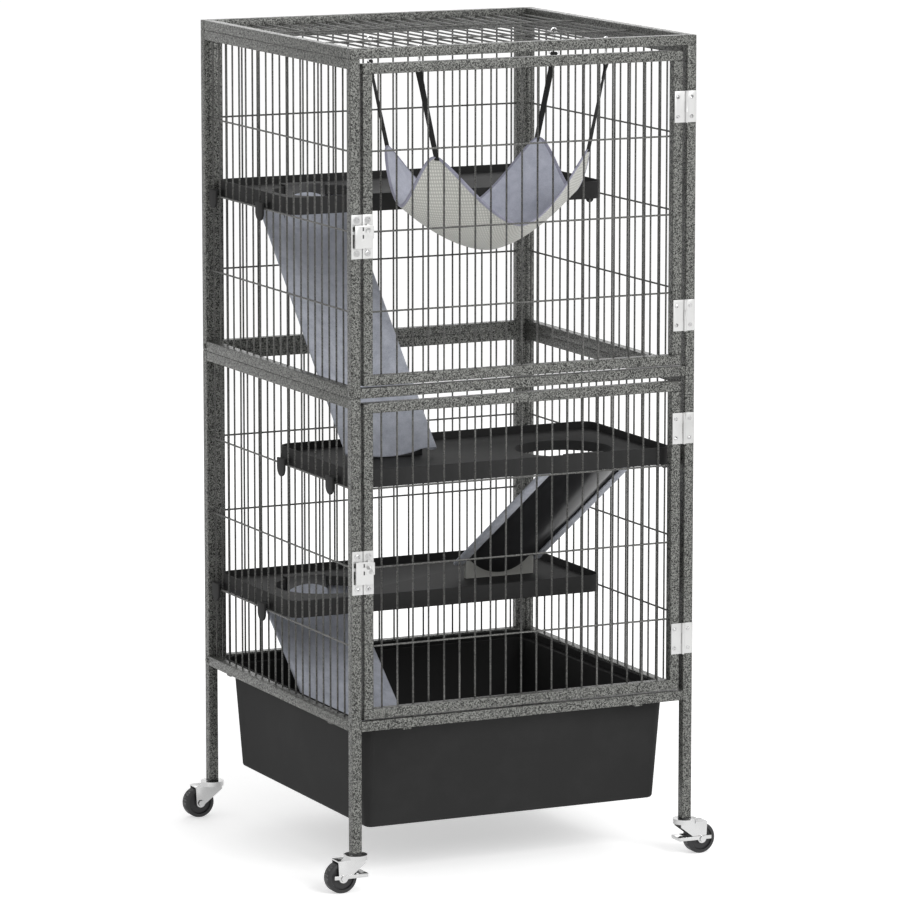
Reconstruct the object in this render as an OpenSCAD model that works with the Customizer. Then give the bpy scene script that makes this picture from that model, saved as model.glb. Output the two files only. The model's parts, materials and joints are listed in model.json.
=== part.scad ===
// Two-storey small animal cage on casters: square tube frame with wire grilles, two front doors with
// gravity latches, three moulded shelves joined by covered ramps, a deep base pan and a hung hammock.
// Millimetres. Origin on the floor under the middle of the cage: +X right, -Y front, +Z up.

/* [Frame] */
// Outside width of the cage
cage_w = 600; // [580:5:700]
// Outside depth of the cage
cage_d = 596; // [586:2:660]
// Height of each storey's panels
panel_h = 528; // [510:2:600]
// Height of the bottom rails above the feet of the posts
leg_h = 195; // [185:5:260]
// Side of the square tube
tube = 16; // [15:0.5:20]
// Wall of the square tube
tube_wall = 1.2; // [0.8:0.1:2]

/* [Wire grilles] */
// Wire diameter
wire = 3; // [2:0.25:4]
// Spacing of the upright wires in the fixed panels
panel_pitch = 27.25; // [24:0.25:32]
// Spacing of the upright wires in the doors
door_pitch = 27; // [22:0.5:32]
// Least gap between a tube and the first upright wire
wire_margin = 9; // [6:0.5:14]
// Height of the first cross wire above the underside of its panel
row_first = 134; // [110:1:150]
// Spacing of the cross wires
row_pitch = 125; // [110:1:140]
// Depth of the cross wires' centre behind the outer face
row_depth = 8; // [7:0.5:9]
// How deep a cross wire is welded into the upright wires
weld = 0.5; // [0.3:0.1:0.8]
// Number of cross wires in the roof
roof_rows = 2; // [1:1:4]

/* [Doors] */
// Gap between a door and the left post
door_gap_left = 5; // [3:0.5:8]
// Gap between a door and the right post
door_gap_right = 8; // [6:0.5:10]
// Gap under a door
door_gap_under = 3; // [2:0.5:6]
// Gap over a door
door_gap_over = 8; // [3:0.5:12]
// Height of the lower hinge above the foot of the lower door
lower_hinge_1 = 83; // [60:1:120]
// Height of the upper hinge above the foot of the lower door
lower_hinge_2 = 425; // [390:1:440]
// Height of the lower hinge above the foot of the upper door
upper_hinge_1 = 79; // [60:1:120]
// Height of the upper hinge above the foot of the upper door
upper_hinge_2 = 412; // [390:1:440]

/* [Hinges] */
// Height of a hinge
hinge_h = 50; // [40:1:70]
// Thickness of the leaves
leaf_t = 1.5; // [1:0.1:2]
// Radius of the knuckles
knuckle_r = 2.5; // [2.2:0.1:3]
// Radius of the hinge pins
hinge_pin_r = 1.2; // [1:0.1:1.4]
// Running clearance in the knuckles
hinge_fit = 0.05; // [0.03:0.01:0.1]
// Width of the leaf on the post
post_leaf_w = 14; // [12:0.5:15]
// Width of the leaf on the door
door_leaf_w = 15; // [12:0.5:15.5]
// Distance of the screws from the middle of a hinge
hinge_screw_z = 15.5; // [10:0.5:19]
// Radius of the hinge screws' heads
hinge_head_r = 3; // [2.5:0.1:3.4]

/* [Latches] */
// Height of the latch plates
latch_h = 69; // [66:1:90]
// Width of each latch plate
latch_w = 17.6; // [17:0.1:18]
// Thickness of the plates and of the slider
latch_t = 1.5; // [1:0.1:1.6]
// How far the latches sit under the middle of the doors
latch_drop = 16; // [0:1:40]
// Height of the slider
slider_h = 36; // [34:0.5:37]
// Width of the slider
slider_w = 29.7; // [29.5:0.1:31]
// How far the slider stands off the plates
slider_lift = 3.5; // [3.2:0.1:4]
// Travel of the slider
slider_travel = 10; // [6:0.5:10]
// Distance of the rivets from the middle of a latch
rivet_z = 26; // [25.5:0.5:28]
// Radius of the rivet heads
rivet_r = 5; // [3:0.25:5]

/* [Shelves] */
// Depth of a shelf, front to back
shelf_d = 298; // [290:1:300]
// Gap between a shelf and the side panels' inner faces
shelf_end_gap = 2; // [1:0.5:4]
// Overall height of a shelf
shelf_h = 28; // [24:0.5:34]
// Height of the floor's upper face above the shelf's underside
shelf_floor = 16; // [13:0.5:19]
// Wall of the shelves
shelf_wall = 3; // [2:0.25:4]
// Corner radius of a shelf
shelf_r = 25; // [15:1:40]
// Radius of the ramp hole
hole_r = 79; // [76:1:82]
// Distance of the hole's centre from the end of the shelf
hole_end = 134; // [124:1:146]
// Distance of the hole's centre from the shelf's far side
hole_side = 126; // [120:0.5:132]
// Gap between the middle shelf and the doors
middle_shelf_gap = 20; // [12:1:30]
// Gap between the other shelves and the back panel
back_shelf_gap = 1; // [0.5:0.5:4]
// Width of a hook's tab
tab_w = 28; // [22:1:34]
// Width of a hook's neck
neck_w = 21; // [14:0.5:21]
// Thickness of a hook's tab
tab_t = 3.8; // [3:0.1:4.5]
// How far a hook's tab hangs under the wire
tab_drop = 20; // [14:1:26]

/* [Ramps] */
// Width of a ramp
ramp_w = 154; // [148:1:158]
// Width of a ramp's trough
trough_w = 108; // [96:1:112]
// Depth of the trough
ramp_dip = 20; // [14:0.5:24]
// Wall of the ramps
ramp_t = 2.5; // [2:0.1:3.5]
// Run of the upper ramp
upper_run = 324; // [310:1:340]
// Run of the middle ramp
middle_run = 315; // [300:1:330]
// Run of the lower ramp
lower_run = 312; // [300:1:330]
// Depth of the lower trough under its shelf, below the far edge of the hole
lower_drop = 36; // [33:0.5:44]
// Depth of the middle trough under its shelf, below the far edge of the hole
middle_drop = 32; // [30:0.5:44]
// Depth of the upper trough under its shelf, below the far edge of the hole
upper_drop = 42; // [36:0.5:44]
// Height of a trough's foot above the floor
foot_lift = 7; // [6:0.5:12]
// Thickness of the foot plates
foot_t = 8; // [6:0.5:9]
// Width of the tongues that hold the ramps
tongue_w = 70; // [50:1:76]
// Thickness of the tongues
tongue_t = 3; // [2:0.5:4]
// Reach of a tongue over the edge of its hole
tongue_reach = 17; // [12:0.5:18]

/* [Ramp covers] */
// Thickness of the fleece
fleece_t = 2.5; // [1.5:0.25:3.5]
// How far the fleece turns under the ramps' edges
fleece_turn = 14; // [8:0.5:14]
// How far the fleece on a tongue stays under the shelf's floor
fleece_low = 9; // [7:0.5:12]

/* [Base pan] */
// Width and depth of the pan less than the frame's inside
pan_gap = 4; // [2:0.5:6]
// Depth of the pan
pan_h = 182; // [140:2:190]
// Wall of the pan
pan_wall = 3; // [2:0.25:4]
// Corner radius of the pan
pan_r = 36; // [34:1:100]
// Height of the band round the rim
rim_h = 15; // [12:0.5:16]
// How far the pan steps in under the band
rim_step = 11; // [4:0.5:12]
// How far the pan draws in at the bottom, on each side
pan_taper = 13; // [4:1:16]
// Radius of the pan's bottom edge
pan_edge = 6; // [4:1:8]
// Width of the lugs that carry the pan
lug_w = 14; // [10:1:24]
// Thickness of the lugs
lug_t = 3; // [2:0.5:4]
// Distance of the lugs from the middle of a side
lug_x = 204; // [100:2:220]

/* [Hammock] */
// Middle of the hammock, right of the cage's middle
hammock_x = 14; // [0:0.5:30]
// Middle of the hammock, in front of the cage's middle
hammock_y = 128.5; // [128:0.5:136]
// Half the width of the hammock, to the meeting points of its edges
corner_x = 147.5; // [130:0.5:160]
// Half the depth of the hammock, to the meeting points of its edges
corner_y = 100; // [80:0.5:100]
// Depth of the edges' meeting points under the roof's wires
corner_drop = 126; // [110:1:150]
// Sag of the front and back edges
sag_front = 154; // [120:1:160]
// Sag of the left edge
sag_left = 130; // [100:1:150]
// Sag of the right edge
sag_right = 122; // [100:1:150]
// Sag of the middle
sag_middle = 209; // [170:1:230]
// Thickness of the fabric
fabric_t = 3; // [2:0.25:4]
// Width of the straps
strap_w = 12; // [10:0.5:16]
// Thickness of the straps
strap_t = 1.6; // [1.2:0.1:2.5]
// Spacing of the snap hooks, front to back
hook_span = 186; // [170:2:200]
// Distance of the middle of the snap hooks in front of the cage's middle
hook_y = 103; // [100:1:112]
// Length of a snap hook
hook_l = 43; // [38:1:50]

/* [Casters] */
// Wheel diameter
wheel_d = 50; // [44:1:60]
// Wheel width
wheel_w = 20; // [16:1:22]
// Distance of the axle from the swivel axis
trail = 26; // [20:1:32]
// Radius of the axles
axle_r = 3; // [2.5:0.25:4]
// Running clearance of the wheels and stems
caster_fit = 0.05; // [0.03:0.01:0.1]
// Radius of the swivel race
race_r = 19; // [16:0.5:22]
// Height of the swivel race
race_h = 5.8; // [4:0.2:8]
// Thickness of the fork's sheet
fork_t = 2; // [1.5:0.1:2.5]
// Radius of the stem
stem_r = 4; // [3:0.25:5]
// Length of the stem above the race
stem_l = 24; // [16:1:30]
// Length of the brake pedals' arms, from the axle
pedal_l = 42; // [40:1:50]

/* [Screws] */
// Radius of the frame screws' shanks
screw_r = 2.5; // [2:0.1:3]
// Radius of the frame screws' heads
screw_head_r = 4; // [3.5:0.1:5]
// Height of the frame screws' heads
screw_head_h = 1.6; // [1:0.1:2.5]

/* [Hidden] */
$fn = 48;

// Clearances: welded tubes, pieces that rest on each other, sheets that slide on each other
joint_gap = 0.05;
rest_gap = 0.2;
soft_gap = 0.3;

// Levels
crown_gap = 1;
crown_t = 2.2;
flange_t = 1.5;
crown_z = wheel_d + crown_gap;
race_top = crown_z + crown_t + race_h;
post_z = race_top + soft_gap + flange_t;
rail_z = post_z + leg_h;
mid_z = rail_z + panel_h;
roof_z = mid_z + panel_h;
top_z = roof_z + tube;
hx = cage_w / 2;
hy = cage_d / 2;

// Doors
door_x0 = -hx + tube + door_gap_left;
door_x1 = hx - tube - door_gap_right;
door_w = door_x1 - door_x0;
door_x = (door_x0 + door_x1) / 2;
door_h = panel_h - tube - door_gap_under - door_gap_over;
function door_z(up) = (up ? mid_z : rail_z) + tube + door_gap_under;
hinge_x = door_x1 + door_gap_right - knuckle_r;
hinge_y = -hy - knuckle_r;
function hinges(up) = [for (h = up ? [upper_hinge_1, upper_hinge_2] : [lower_hinge_1, lower_hinge_2])
    door_z(up) + h];
post_screw_x = hx - post_leaf_w / 2 - 2;
door_screw_x = door_x1 - door_leaf_w / 2 - 2;

// Cross wires of a storey, from the underside of its panel
storey = [rail_z, mid_z];
row_count = floor((panel_h - row_first - tube - wire_margin) / row_pitch) + 1;
function rows(up) = [for (i = [0 : row_count - 1]) storey[up ? 1 : 0] + row_first + i * row_pitch];
function upright_count(span, pitch) = floor((span - 2 * wire_margin) / pitch) + 1;
upright_depth = row_depth + wire - weld;

// Latches
seam_x = (-hx + tube + door_x0) / 2 - 0.1;
seam_gap = 1.2;
function latch_z(up) = door_z(up) + door_h / 2 - latch_drop;
keeper_x0 = seam_x - seam_gap / 2 - latch_w;
plate_x0 = seam_x + seam_gap / 2;
guide_x = plate_x0 + latch_w / 2;
slider_x0 = keeper_x0 + 4.4;
slider_x1 = slider_x0 + slider_w;
slider_t = 1.3;
slot_x0 = keeper_x0 + 2.1;
plate_y = -hy - latch_t;
slider_y = plate_y - slider_lift;
slider_low = slider_h / 2 + 1;
slide_gap = 0.25;
lip_t = 1.05;
rail_head_t = 1.2;

// Shelves: level of the underside, middle of the depth, turned half round or not, wire gaps for the hooks
shelf_under_wire = 3.5;
shelf_w = cage_w - 2 * (tube + shelf_end_gap);
function shelf_z(i) = [rows(false)[0], rows(false)[2], rows(true)[1]][i] - shelf_under_wire;
function shelf_turned(i) = i == 1;
function shelf_y(i) = shelf_turned(i) ? -hy + tube + middle_shelf_gap + shelf_d / 2
    : hy - tube - back_shelf_gap - shelf_d / 2;
function shelf_gaps(i) = shelf_turned(i) ? [-8, -1] : [2, 9];
hole_x = shelf_w / 2 - hole_end;
hole_y = shelf_d / 2 - hole_side;

// Ramps: 0 lower, 1 middle, 2 upper. A ramp climbs past the far edge of its shelf's hole.
ramp_r = (pow(trough_w / 2, 2) + pow(ramp_dip, 2)) / (2 * ramp_dip);
end_gap = 2;
foot_w = ramp_w - 2 * (fleece_turn + 1);
pan_top = rail_z + tube - 1;
pan_floor = pan_top - pan_h + pan_wall;
function ramp_side(i) = shelf_turned(i) ? -1 : 1;
function ramp_x(i) = -ramp_side(i) * hole_x;
function edge_y(i) = ramp_side(i) * shelf_y(i) + hole_y + hole_r;
function ramp_base(i) = i == 0 ? pan_floor : shelf_z(i - 1) + shelf_floor;
function ramp_top(i) = [edge_y(i), shelf_z(i) - [lower_drop, middle_drop, upper_drop][i]];
function ramp_foot(i) = [edge_y(i) - [lower_run, middle_run, upper_run][i], ramp_base(i) + foot_lift];
function ramp_rise(i) = atan2(ramp_top(i)[1] - ramp_foot(i)[1], ramp_top(i)[0] - ramp_foot(i)[0]);
function ramp_len(i) = norm(ramp_top(i) - ramp_foot(i));
tongue_y = hole_r - sqrt(pow(hole_r, 2) - pow(tongue_w / 2, 2)) + soft_gap;

// Pan
pan_w = cage_w - 2 * (tube + pan_gap);
pan_d = cage_d - 2 * (tube + pan_gap);

// Hammock: a sheet held at its corners, over the square from -1 to 1
roof_upright_z = top_z - upright_depth;
roof_row_z = top_z - row_depth;
corner_z = roof_upright_z - corner_drop;
cells = 22;
blunt = 0.097;
bulge_x = 0.047;
bulge_front = 0.31;
bulge_back = 0.05;
crest = 1.66;
function hang(a) = 1 - pow(abs(a), crest);
function bluntly(a, b) = 1 - blunt * pow(abs(a * b), 4);
function sheet_point(a0, b0) = let (k = bluntly(a0, b0), a = a0 * k, b = b0 * k, p = hang(a), q = hang(b))
    [hammock_x + corner_x * a * (1 + bulge_x * q),
     -hammock_y + corner_y * b * (1 + (b < 0 ? bulge_front : bulge_back) * p * b * b),
     corner_z - sag_front * p * (1 - q) - (a < 0 ? sag_left : sag_right) * q * (1 - p) - sag_middle * p * q];
function sheet_normal(a, b) = let (e = 0.02, u = sheet_point(a + e, b) - sheet_point(a - e, b),
    v = sheet_point(a, b + e) - sheet_point(a, b - e), n = cross(u, v)) n / norm(n);
hook_k = [-5, 7];
ring_r = 5;
ring_t = 1.2;
eye_w = strap_w + 4.4;
eye_h = 10;
sewn = 1.05;
function hook_at(s, t) = [hook_k[s] * panel_pitch, -hook_y + (t - 0.5) * hook_span,
    roof_upright_z + wire / 2 - ring_r + ring_t + rest_gap / 2];

// Casters
post_x = hx - tube / 2;
post_y = hy - tube / 2;
fork_y = wheel_w / 2 + 1;
arm_y = fork_y + fork_t + soft_gap;
arm_t = 1.5;
head_t = 2;
axle_y = arm_y + arm_t + rest_gap;

// Shared shapes

// Tube along Z, open at both ends, on the square from the origin
module post_tube(len) {
    difference() {
        cube([tube, tube, len]);
        translate([tube_wall, tube_wall, -1])
            cube([tube - 2 * tube_wall, tube - 2 * tube_wall, len + 2]);
    }
}

// Tube along X with open ends, from x0 to x1
module rail(x0, x1) {
    translate([x0 + joint_gap, 0, 0]) difference() {
        cube([x1 - x0 - 2 * joint_gap, tube, tube]);
        translate([-1, tube_wall, tube_wall])
            cube([x1 - x0 + 2, tube - 2 * tube_wall, tube - 2 * tube_wall]);
    }
}

// Tube along X with closed ends and a drain hole in its underside
module closed_rail(x0, x1) {
    difference() {
        translate([x0, 0, 0]) cube([x1 - x0, tube, tube]);
        translate([x0 + tube_wall, tube_wall, tube_wall])
            cube([x1 - x0 - 2 * tube_wall, tube - 2 * tube_wall, tube - 2 * tube_wall]);
        translate([(x0 + x1) / 2, tube / 2, -1]) cylinder(r = 1.5, h = tube / 2);
    }
}

// Puts a panel drawn with its outer face on y = 0, looking to -Y, on one side of the cage
module on_side(turn, reach) {
    rotate([0, 0, turn]) translate([0, -reach, 0]) children();
}
module front() { on_side(0, hy) children(); }
module back() { on_side(180, hy) children(); }
module left() { on_side(-90, hx) children(); }
module right() { on_side(90, hx) children(); }

// Upright and cross wires between z0 and z1
module grille(span, z0, z1, pitch, levels) {
    n = upright_count(span, pitch);
    for (i = [0 : n - 1])
        translate([(i - (n - 1) / 2) * pitch, upright_depth, z0 + 2 * joint_gap])
            cylinder(d = wire, h = z1 - z0 - 4 * joint_gap, $fn = 24);
    for (z = levels)
        translate([-span / 2 + joint_gap, row_depth, z]) rotate([0, 90, 0])
            cylinder(d = wire, h = span - 2 * joint_gap, $fn = 24);
}

module rounded(w, d, r) {
    square([w - 2 * r, d], center = true);
    square([w, d - 2 * r], center = true);
    for (x = [-1, 1], y = [-1, 1]) translate([x * (w / 2 - r), y * (d / 2 - r)]) circle(r);
}

// Frame

// Depth of the sunk heads in the roof
sunk = screw_head_r - screw_r;
module frame_screw_holes(up)
    for (y = [-1, 1]) translate([0, y * post_y, (up ? mid_z : rail_z) + tube / 2]) rotate([0, 90, 0])
        cylinder(r = screw_r + caster_fit, h = cage_w + 10, center = true);

// Two posts and the rails between them, on the left (-1) or the right (1)
module side_frame(side, up) {
    z0 = up ? mid_z + joint_gap : post_z;
    z1 = up ? roof_z - joint_gap : mid_z;
    difference() {
        for (y = [-hy, hy - tube]) translate([side < 0 ? -hx : hx - tube, y, z0]) post_tube(z1 - z0);
        frame_screw_holes(up);
        if (side < 0) rivet_holes(up); else hinge_holes(up);
    }
    for (z = [up ? mid_z + joint_gap : rail_z, (up ? roof_z : mid_z) - tube - joint_gap])
        translate([0, 0, z]) on_side(side * 90, hx) rail(-hy + tube, hy - tube);
}
module lower_left_frame() color("dimgray") side_frame(-1, false);
module upper_left_frame() color("dimgray") side_frame(-1, true);
module lower_right_frame() color("dimgray") side_frame(1, false);
module upper_right_frame() color("dimgray") side_frame(1, true);

module back_frame(up) {
    z0 = up ? mid_z + joint_gap : rail_z;
    z1 = up ? roof_z - joint_gap : mid_z;
    for (z = [z0, z1 - tube]) translate([0, 0, z]) back() rail(-hx + tube, hx - tube);
    for (x = [-hx + tube + joint_gap, hx - 2 * tube - joint_gap])
        translate([x, hy - tube, z0 + tube + joint_gap]) post_tube(z1 - z0 - 2 * (tube + joint_gap));
}
module lower_back_frame() color("dimgray") back_frame(false);
module upper_back_frame() color("dimgray") back_frame(true);

module front_rails() color("dimgray")
    for (z = storey) translate([0, 0, z]) front() rail(-hx + tube, hx - tube);

module roof_frame() color("dimgray") difference() {
    translate([0, 0, roof_z]) {
        front() closed_rail(-hx, hx);
        back() closed_rail(-hx, hx);
        left() rail(-hy + tube, hy - tube);
        right() rail(-hy + tube, hy - tube);
    }
    for (x = [-1, 1], y = [-1, 1]) translate([x * post_x, y * post_y, top_z]) {
        translate([0, 0, -tube - 1]) cylinder(r = screw_r + caster_fit, h = tube + 2);
        translate([0, 0, -sunk]) cylinder(r1 = screw_r + caster_fit, r2 = screw_head_r + caster_fit, h = sunk);
    }
}

module panel_grille(span, up) grille(span, storey[up ? 1 : 0] + tube, storey[up ? 1 : 0] + panel_h - tube,
    panel_pitch, rows(up));
module side_grille(up) panel_grille(cage_d - 2 * tube, up);
module back_grille(up) panel_grille(cage_w - 4 * tube, up);
module lower_left_grille() color("gray") left() side_grille(false);
module lower_right_grille() color("gray") right() side_grille(false);
module lower_back_grille() color("gray") back() back_grille(false);
module upper_left_grille() color("gray") left() side_grille(true);
module upper_right_grille() color("gray") right() side_grille(true);
module upper_back_grille() color("gray") back() back_grille(true);

module roof_grille() color("gray") {
    n = upright_count(cage_w - 2 * tube, panel_pitch);
    for (i = [0 : n - 1])
        translate([(i - (n - 1) / 2) * panel_pitch, hy - tube - joint_gap, roof_upright_z])
            rotate([90, 0, 0]) cylinder(d = wire, h = cage_d - 2 * (tube + joint_gap), $fn = 24);
    for (i = [1 : roof_rows])
        translate([-hx + tube + joint_gap, -hy + i * cage_d / (roof_rows + 1), roof_row_z])
            rotate([0, 90, 0]) cylinder(d = wire, h = cage_w - 2 * (tube + joint_gap), $fn = 24);
}

// Plugs that join the posts of the two storeys, and threaded plugs under the roof's screws
plug_gap = 0.2;
plug_w = tube - 2 * (tube_wall + plug_gap);
module post_spigots() color("black")
    for (x = [-1, 1], y = [-1, 1]) translate([x * post_x, y * post_y, 0]) {
        translate([-plug_w / 2, -plug_w / 2, mid_z - 30]) difference() {
            cube([plug_w, plug_w, 35]);
            translate([plug_w / 2, plug_w / 2, -1]) cylinder(r = stem_r, h = 40);
        }
        translate([-plug_w / 2, -plug_w / 2, roof_z - 20 - soft_gap]) difference() {
            cube([plug_w, plug_w, 20]);
            translate([plug_w / 2, plug_w / 2, -1]) cylinder(r = screw_r + caster_fit, h = 22);
        }
    }

screw_turn = [[-1, -90], [1, 90]];
module frame_screws() color("silver") {
    for (s = screw_turn, y = [-1, 1], z = [rail_z, mid_z])
        translate([s[0] * hx, y * post_y, z + tube / 2]) rotate([0, s[1], 0]) {
            cylinder(r = screw_head_r, h = screw_head_h);
            translate([0, 0, -tube - 6]) cylinder(r = screw_r, h = tube + 6.5);
        }
    for (x = [-1, 1], y = [-1, 1]) translate([x * post_x, y * post_y, top_z]) {
        translate([0, 0, -sunk]) cylinder(r1 = screw_r, r2 = screw_head_r, h = sunk);
        translate([0, 0, -tube - 14]) cylinder(r = screw_r, h = tube + 14 - sunk / 2);
    }
}

// Doors

module door_frame(up) {
    z0 = door_z(up);
    difference() {
        union() {
            for (z = [z0, z0 + door_h - tube]) translate([0, 0, z]) front() closed_rail(door_x0, door_x1);
            for (x = [door_x0, door_x1 - tube]) translate([x, -hy, z0 + tube + joint_gap])
                post_tube(door_h - 2 * (tube + joint_gap));
        }
        hinge_holes(up);
        rivet_holes(up);
    }
}
module lower_door_frame() color("dimgray") door_frame(false);
module upper_door_frame() color("dimgray") door_frame(true);

module door_grille(up) translate([door_x, 0, 0]) front() grille(door_w - 2 * tube, door_z(up) + tube,
    door_z(up) + door_h - tube, door_pitch, rows(up));
module lower_door_grille() color("gray") door_grille(false);
module upper_door_grille() color("gray") door_grille(true);

// Hinges

hinge_screw_r = 1.5;
module at_hinge_screws(up, xs)
    for (z = hinges(up), x = xs, s = [-1, 1])
        translate([x, -hy, z + s * hinge_screw_z]) rotate([90, 0, 0]) children();
module hinge_holes(up) at_hinge_screws(up, [post_screw_x, door_screw_x])
    translate([0, 0, -2 * tube_wall]) cylinder(r = hinge_screw_r + caster_fit, h = 2 * tube_wall + leaf_t + 1);

knuckle_h = hinge_h / 3;
module knuckle(z0, h) translate([hinge_x, hinge_y, z0]) cylinder(r = knuckle_r, h = h);
module knuckle_bore() translate([hinge_x, hinge_y, -hinge_h])
    cylinder(r = hinge_pin_r + hinge_fit, h = 2 * hinge_h);

module post_leaf(up) for (z = hinges(up)) difference() {
    translate([0, 0, z]) difference() {
        union() {
            translate([hinge_x + knuckle_r + 0.2, -hy - leaf_t, -hinge_h / 2])
                cube([hx - 0.5 - hinge_x - knuckle_r - 0.2, leaf_t, hinge_h]);
            translate([hinge_x, -hy - leaf_t, -knuckle_h / 2]) cube([knuckle_r + 1, leaf_t, knuckle_h]);
            knuckle(-knuckle_h / 2, knuckle_h);
        }
        knuckle_bore();
    }
    hinge_holes(up);
}
module door_leaf(up) for (z = hinges(up)) difference() {
    translate([0, 0, z]) difference() {
        union() {
            translate([door_x1 - door_leaf_w, -hy - leaf_t, -hinge_h / 2])
                cube([hinge_x - knuckle_r - 0.2 - door_x1 + door_leaf_w, leaf_t, hinge_h]);
            for (s = [-1, 1]) {
                h = knuckle_h - 0.2;
                z1 = s * (hinge_h / 2 - h / 2) - h / 2;
                translate([hinge_x - knuckle_r - 1, -hy - leaf_t, z1]) cube([knuckle_r + 1, leaf_t, h]);
                knuckle(z1, h);
            }
        }
        knuckle_bore();
    }
    hinge_holes(up);
}
module post_hinge_leaves() color("gainsboro") { post_leaf(false); post_leaf(true); }
module lower_door_hinge_leaves() color("gainsboro") door_leaf(false);
module upper_door_hinge_leaves() color("gainsboro") door_leaf(true);
module hinge_pins() color("silver")
    for (up = [false, true], z = hinges(up)) translate([hinge_x, hinge_y, z - hinge_h / 2 - 0.8]) {
        cylinder(r = hinge_pin_r, h = hinge_h + 1.6);
        for (s = [0, hinge_h + 0.9]) translate([0, 0, s]) cylinder(r = knuckle_r - 0.4, h = 0.7);
    }

module screws_on(up, xs) at_hinge_screws(up, xs) {
    translate([0, 0, leaf_t]) cylinder(r = hinge_head_r, h = 0.8);
    translate([0, 0, -tube_wall - 1]) cylinder(r = hinge_screw_r, h = tube_wall + leaf_t + 1.5);
}

// Latches

keeper_rivet_x = keeper_x0 + latch_w / 2;
module at_rivets(up, xs) for (x = xs, s = [-1, 1])
    translate([x, -hy, latch_z(up) + s * rivet_z]) rotate([90, 0, 0]) children();
rivet_shank_r = 2;
module rivet_holes(up) at_rivets(up, [keeper_rivet_x, guide_x])
    translate([0, 0, -2 * tube_wall]) cylinder(r = rivet_shank_r + caster_fit, h = 2 * tube_wall + latch_t + 1);
module rivets_on(up, x) at_rivets(up, [x]) {
    translate([0, 0, latch_t]) cylinder(r = rivet_r, h = 0.8);
    translate([0, 0, latch_t]) cylinder(r = rivet_r * 0.45, h = 1.2);
    translate([0, 0, -tube_wall - 1]) cylinder(r = rivet_shank_r, h = tube_wall + latch_t + 1.5);
}

// Slots of the keeper: the slider's tab stands in the long one and rises in it
long_slot = [-slider_low + 1.5, -slider_low + 1.5 + 9.7 + slider_travel + 1.3];
short_slot = [8.5, 16];
module keeper(up) translate([0, 0, latch_z(up)]) difference() {
    translate([keeper_x0, plate_y, -latch_h / 2]) cube([latch_w, latch_t, latch_h]);
    for (z = [long_slot, short_slot])
        translate([slot_x0, plate_y - 1, z[0]])
            cube([slider_x0 + slider_t + 0.4 - slot_x0, latch_t + 2, z[1] - z[0]]);
    translate([0, 0, -latch_z(up)]) rivet_holes(up);
}
module latch_keepers() color("gainsboro") { keeper(false); keeper(true); }

rail_w = 6;
neck = 3;
module latch_plate(up) translate([0, 0, latch_z(up)]) difference() {
    union() {
        translate([plate_x0, plate_y, -latch_h / 2]) cube([latch_w, latch_t, latch_h]);
        // T rail of the slider, with its stop
        translate([guide_x - neck / 2, slider_y + 0.6, -slider_low]) cube([neck, slider_lift, slider_h + 3]);
        translate([guide_x - rail_w / 2, slider_y + 0.6, -slider_low])
            cube([rail_w, rail_head_t, slider_h + 3]);
        translate([guide_x - rail_w / 2 - 1.5, slider_y + 0.6, -slider_low - 1])
            cube([rail_w + 3, slider_lift, 1 + 0.7]);
    }
    translate([0, 0, -latch_z(up)]) rivet_holes(up);
}
module lower_latch_plate() color("gainsboro") latch_plate(false);
module upper_latch_plate() color("gainsboro") latch_plate(true);

module slider(up) translate([0, 0, latch_z(up) - slider_low + 1]) {
    wall_h = slider_h - slider_travel + 1;
    difference() {
        union() {
            translate([slider_x0, slider_y - slider_t, 0]) cube([slider_w, slider_t, slider_h]);
            // side flanges and the finger tab
            translate([slider_x0, slider_y - slider_t, 0])
                cube([slider_t, slider_t + slider_lift - 0.4, wall_h]);
            translate([slider_x1 - slider_t, slider_y - slider_t, 0])
                cube([slider_t, slider_t + slider_lift - 0.4, slider_h]);
            translate([slider_x1 - slider_t, slider_y - slider_t, slider_h - 21])
                cube([slider_t + 2.1, slider_t, 19.5]);
            // walls and lips round the T rail
            for (s = [-1, 1]) {
                translate([guide_x + s * (rail_w / 2 + 0.2 + slider_t / 2) - slider_t / 2, slider_y - 0.1, 0])
                    cube([slider_t, slider_lift - 0.3, wall_h]);
                translate([guide_x + (s > 0 ? neck / 2 + 0.3 : -rail_w / 2 - 0.3),
                    slider_y + 0.6 + rail_head_t + slide_gap, 0])
                    cube([rail_w / 2 - neck / 2, lip_t, wall_h]);
            }
            // tab in the keeper's long slot
            translate([slider_x0, slider_y - slider_t, long_slot[0] + slider_low - 1 + 0.3])
                cube([slider_t, slider_t + slider_lift + latch_t - 0.3, 9]);
            // raised loops beside the notches
            for (c = [[5.6, 18.4, 2.8], [7.5, 28, 5.2]])
                translate([seam_x + c[0], slider_y - slider_t, c[1]]) rotate([90, 0, 0]) difference() {
                    cylinder(r = c[2], h = 0.4);
                    translate([0, 0, -1]) cylinder(r = c[2] - 0.9, h = 3);
                }
        }
        for (z = [15.5, 27.3])
            translate([seam_x - 1.3, slider_y - slider_t - 1, z]) cube([2.2, slider_t + 2, 6]);
    }
}
module lower_latch_slider() color("gainsboro") slider(false);
module upper_latch_slider() color("gainsboro") slider(true);

module post_fixings() color("silver")
    for (up = [false, true]) { screws_on(up, [post_screw_x]); rivets_on(up, keeper_rivet_x); }
module lower_door_fixings() color("silver") { screws_on(false, [door_screw_x]); rivets_on(false, guide_x); }
module upper_door_fixings() color("silver") { screws_on(true, [door_screw_x]); rivets_on(true, guide_x); }

// Base pan

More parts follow.
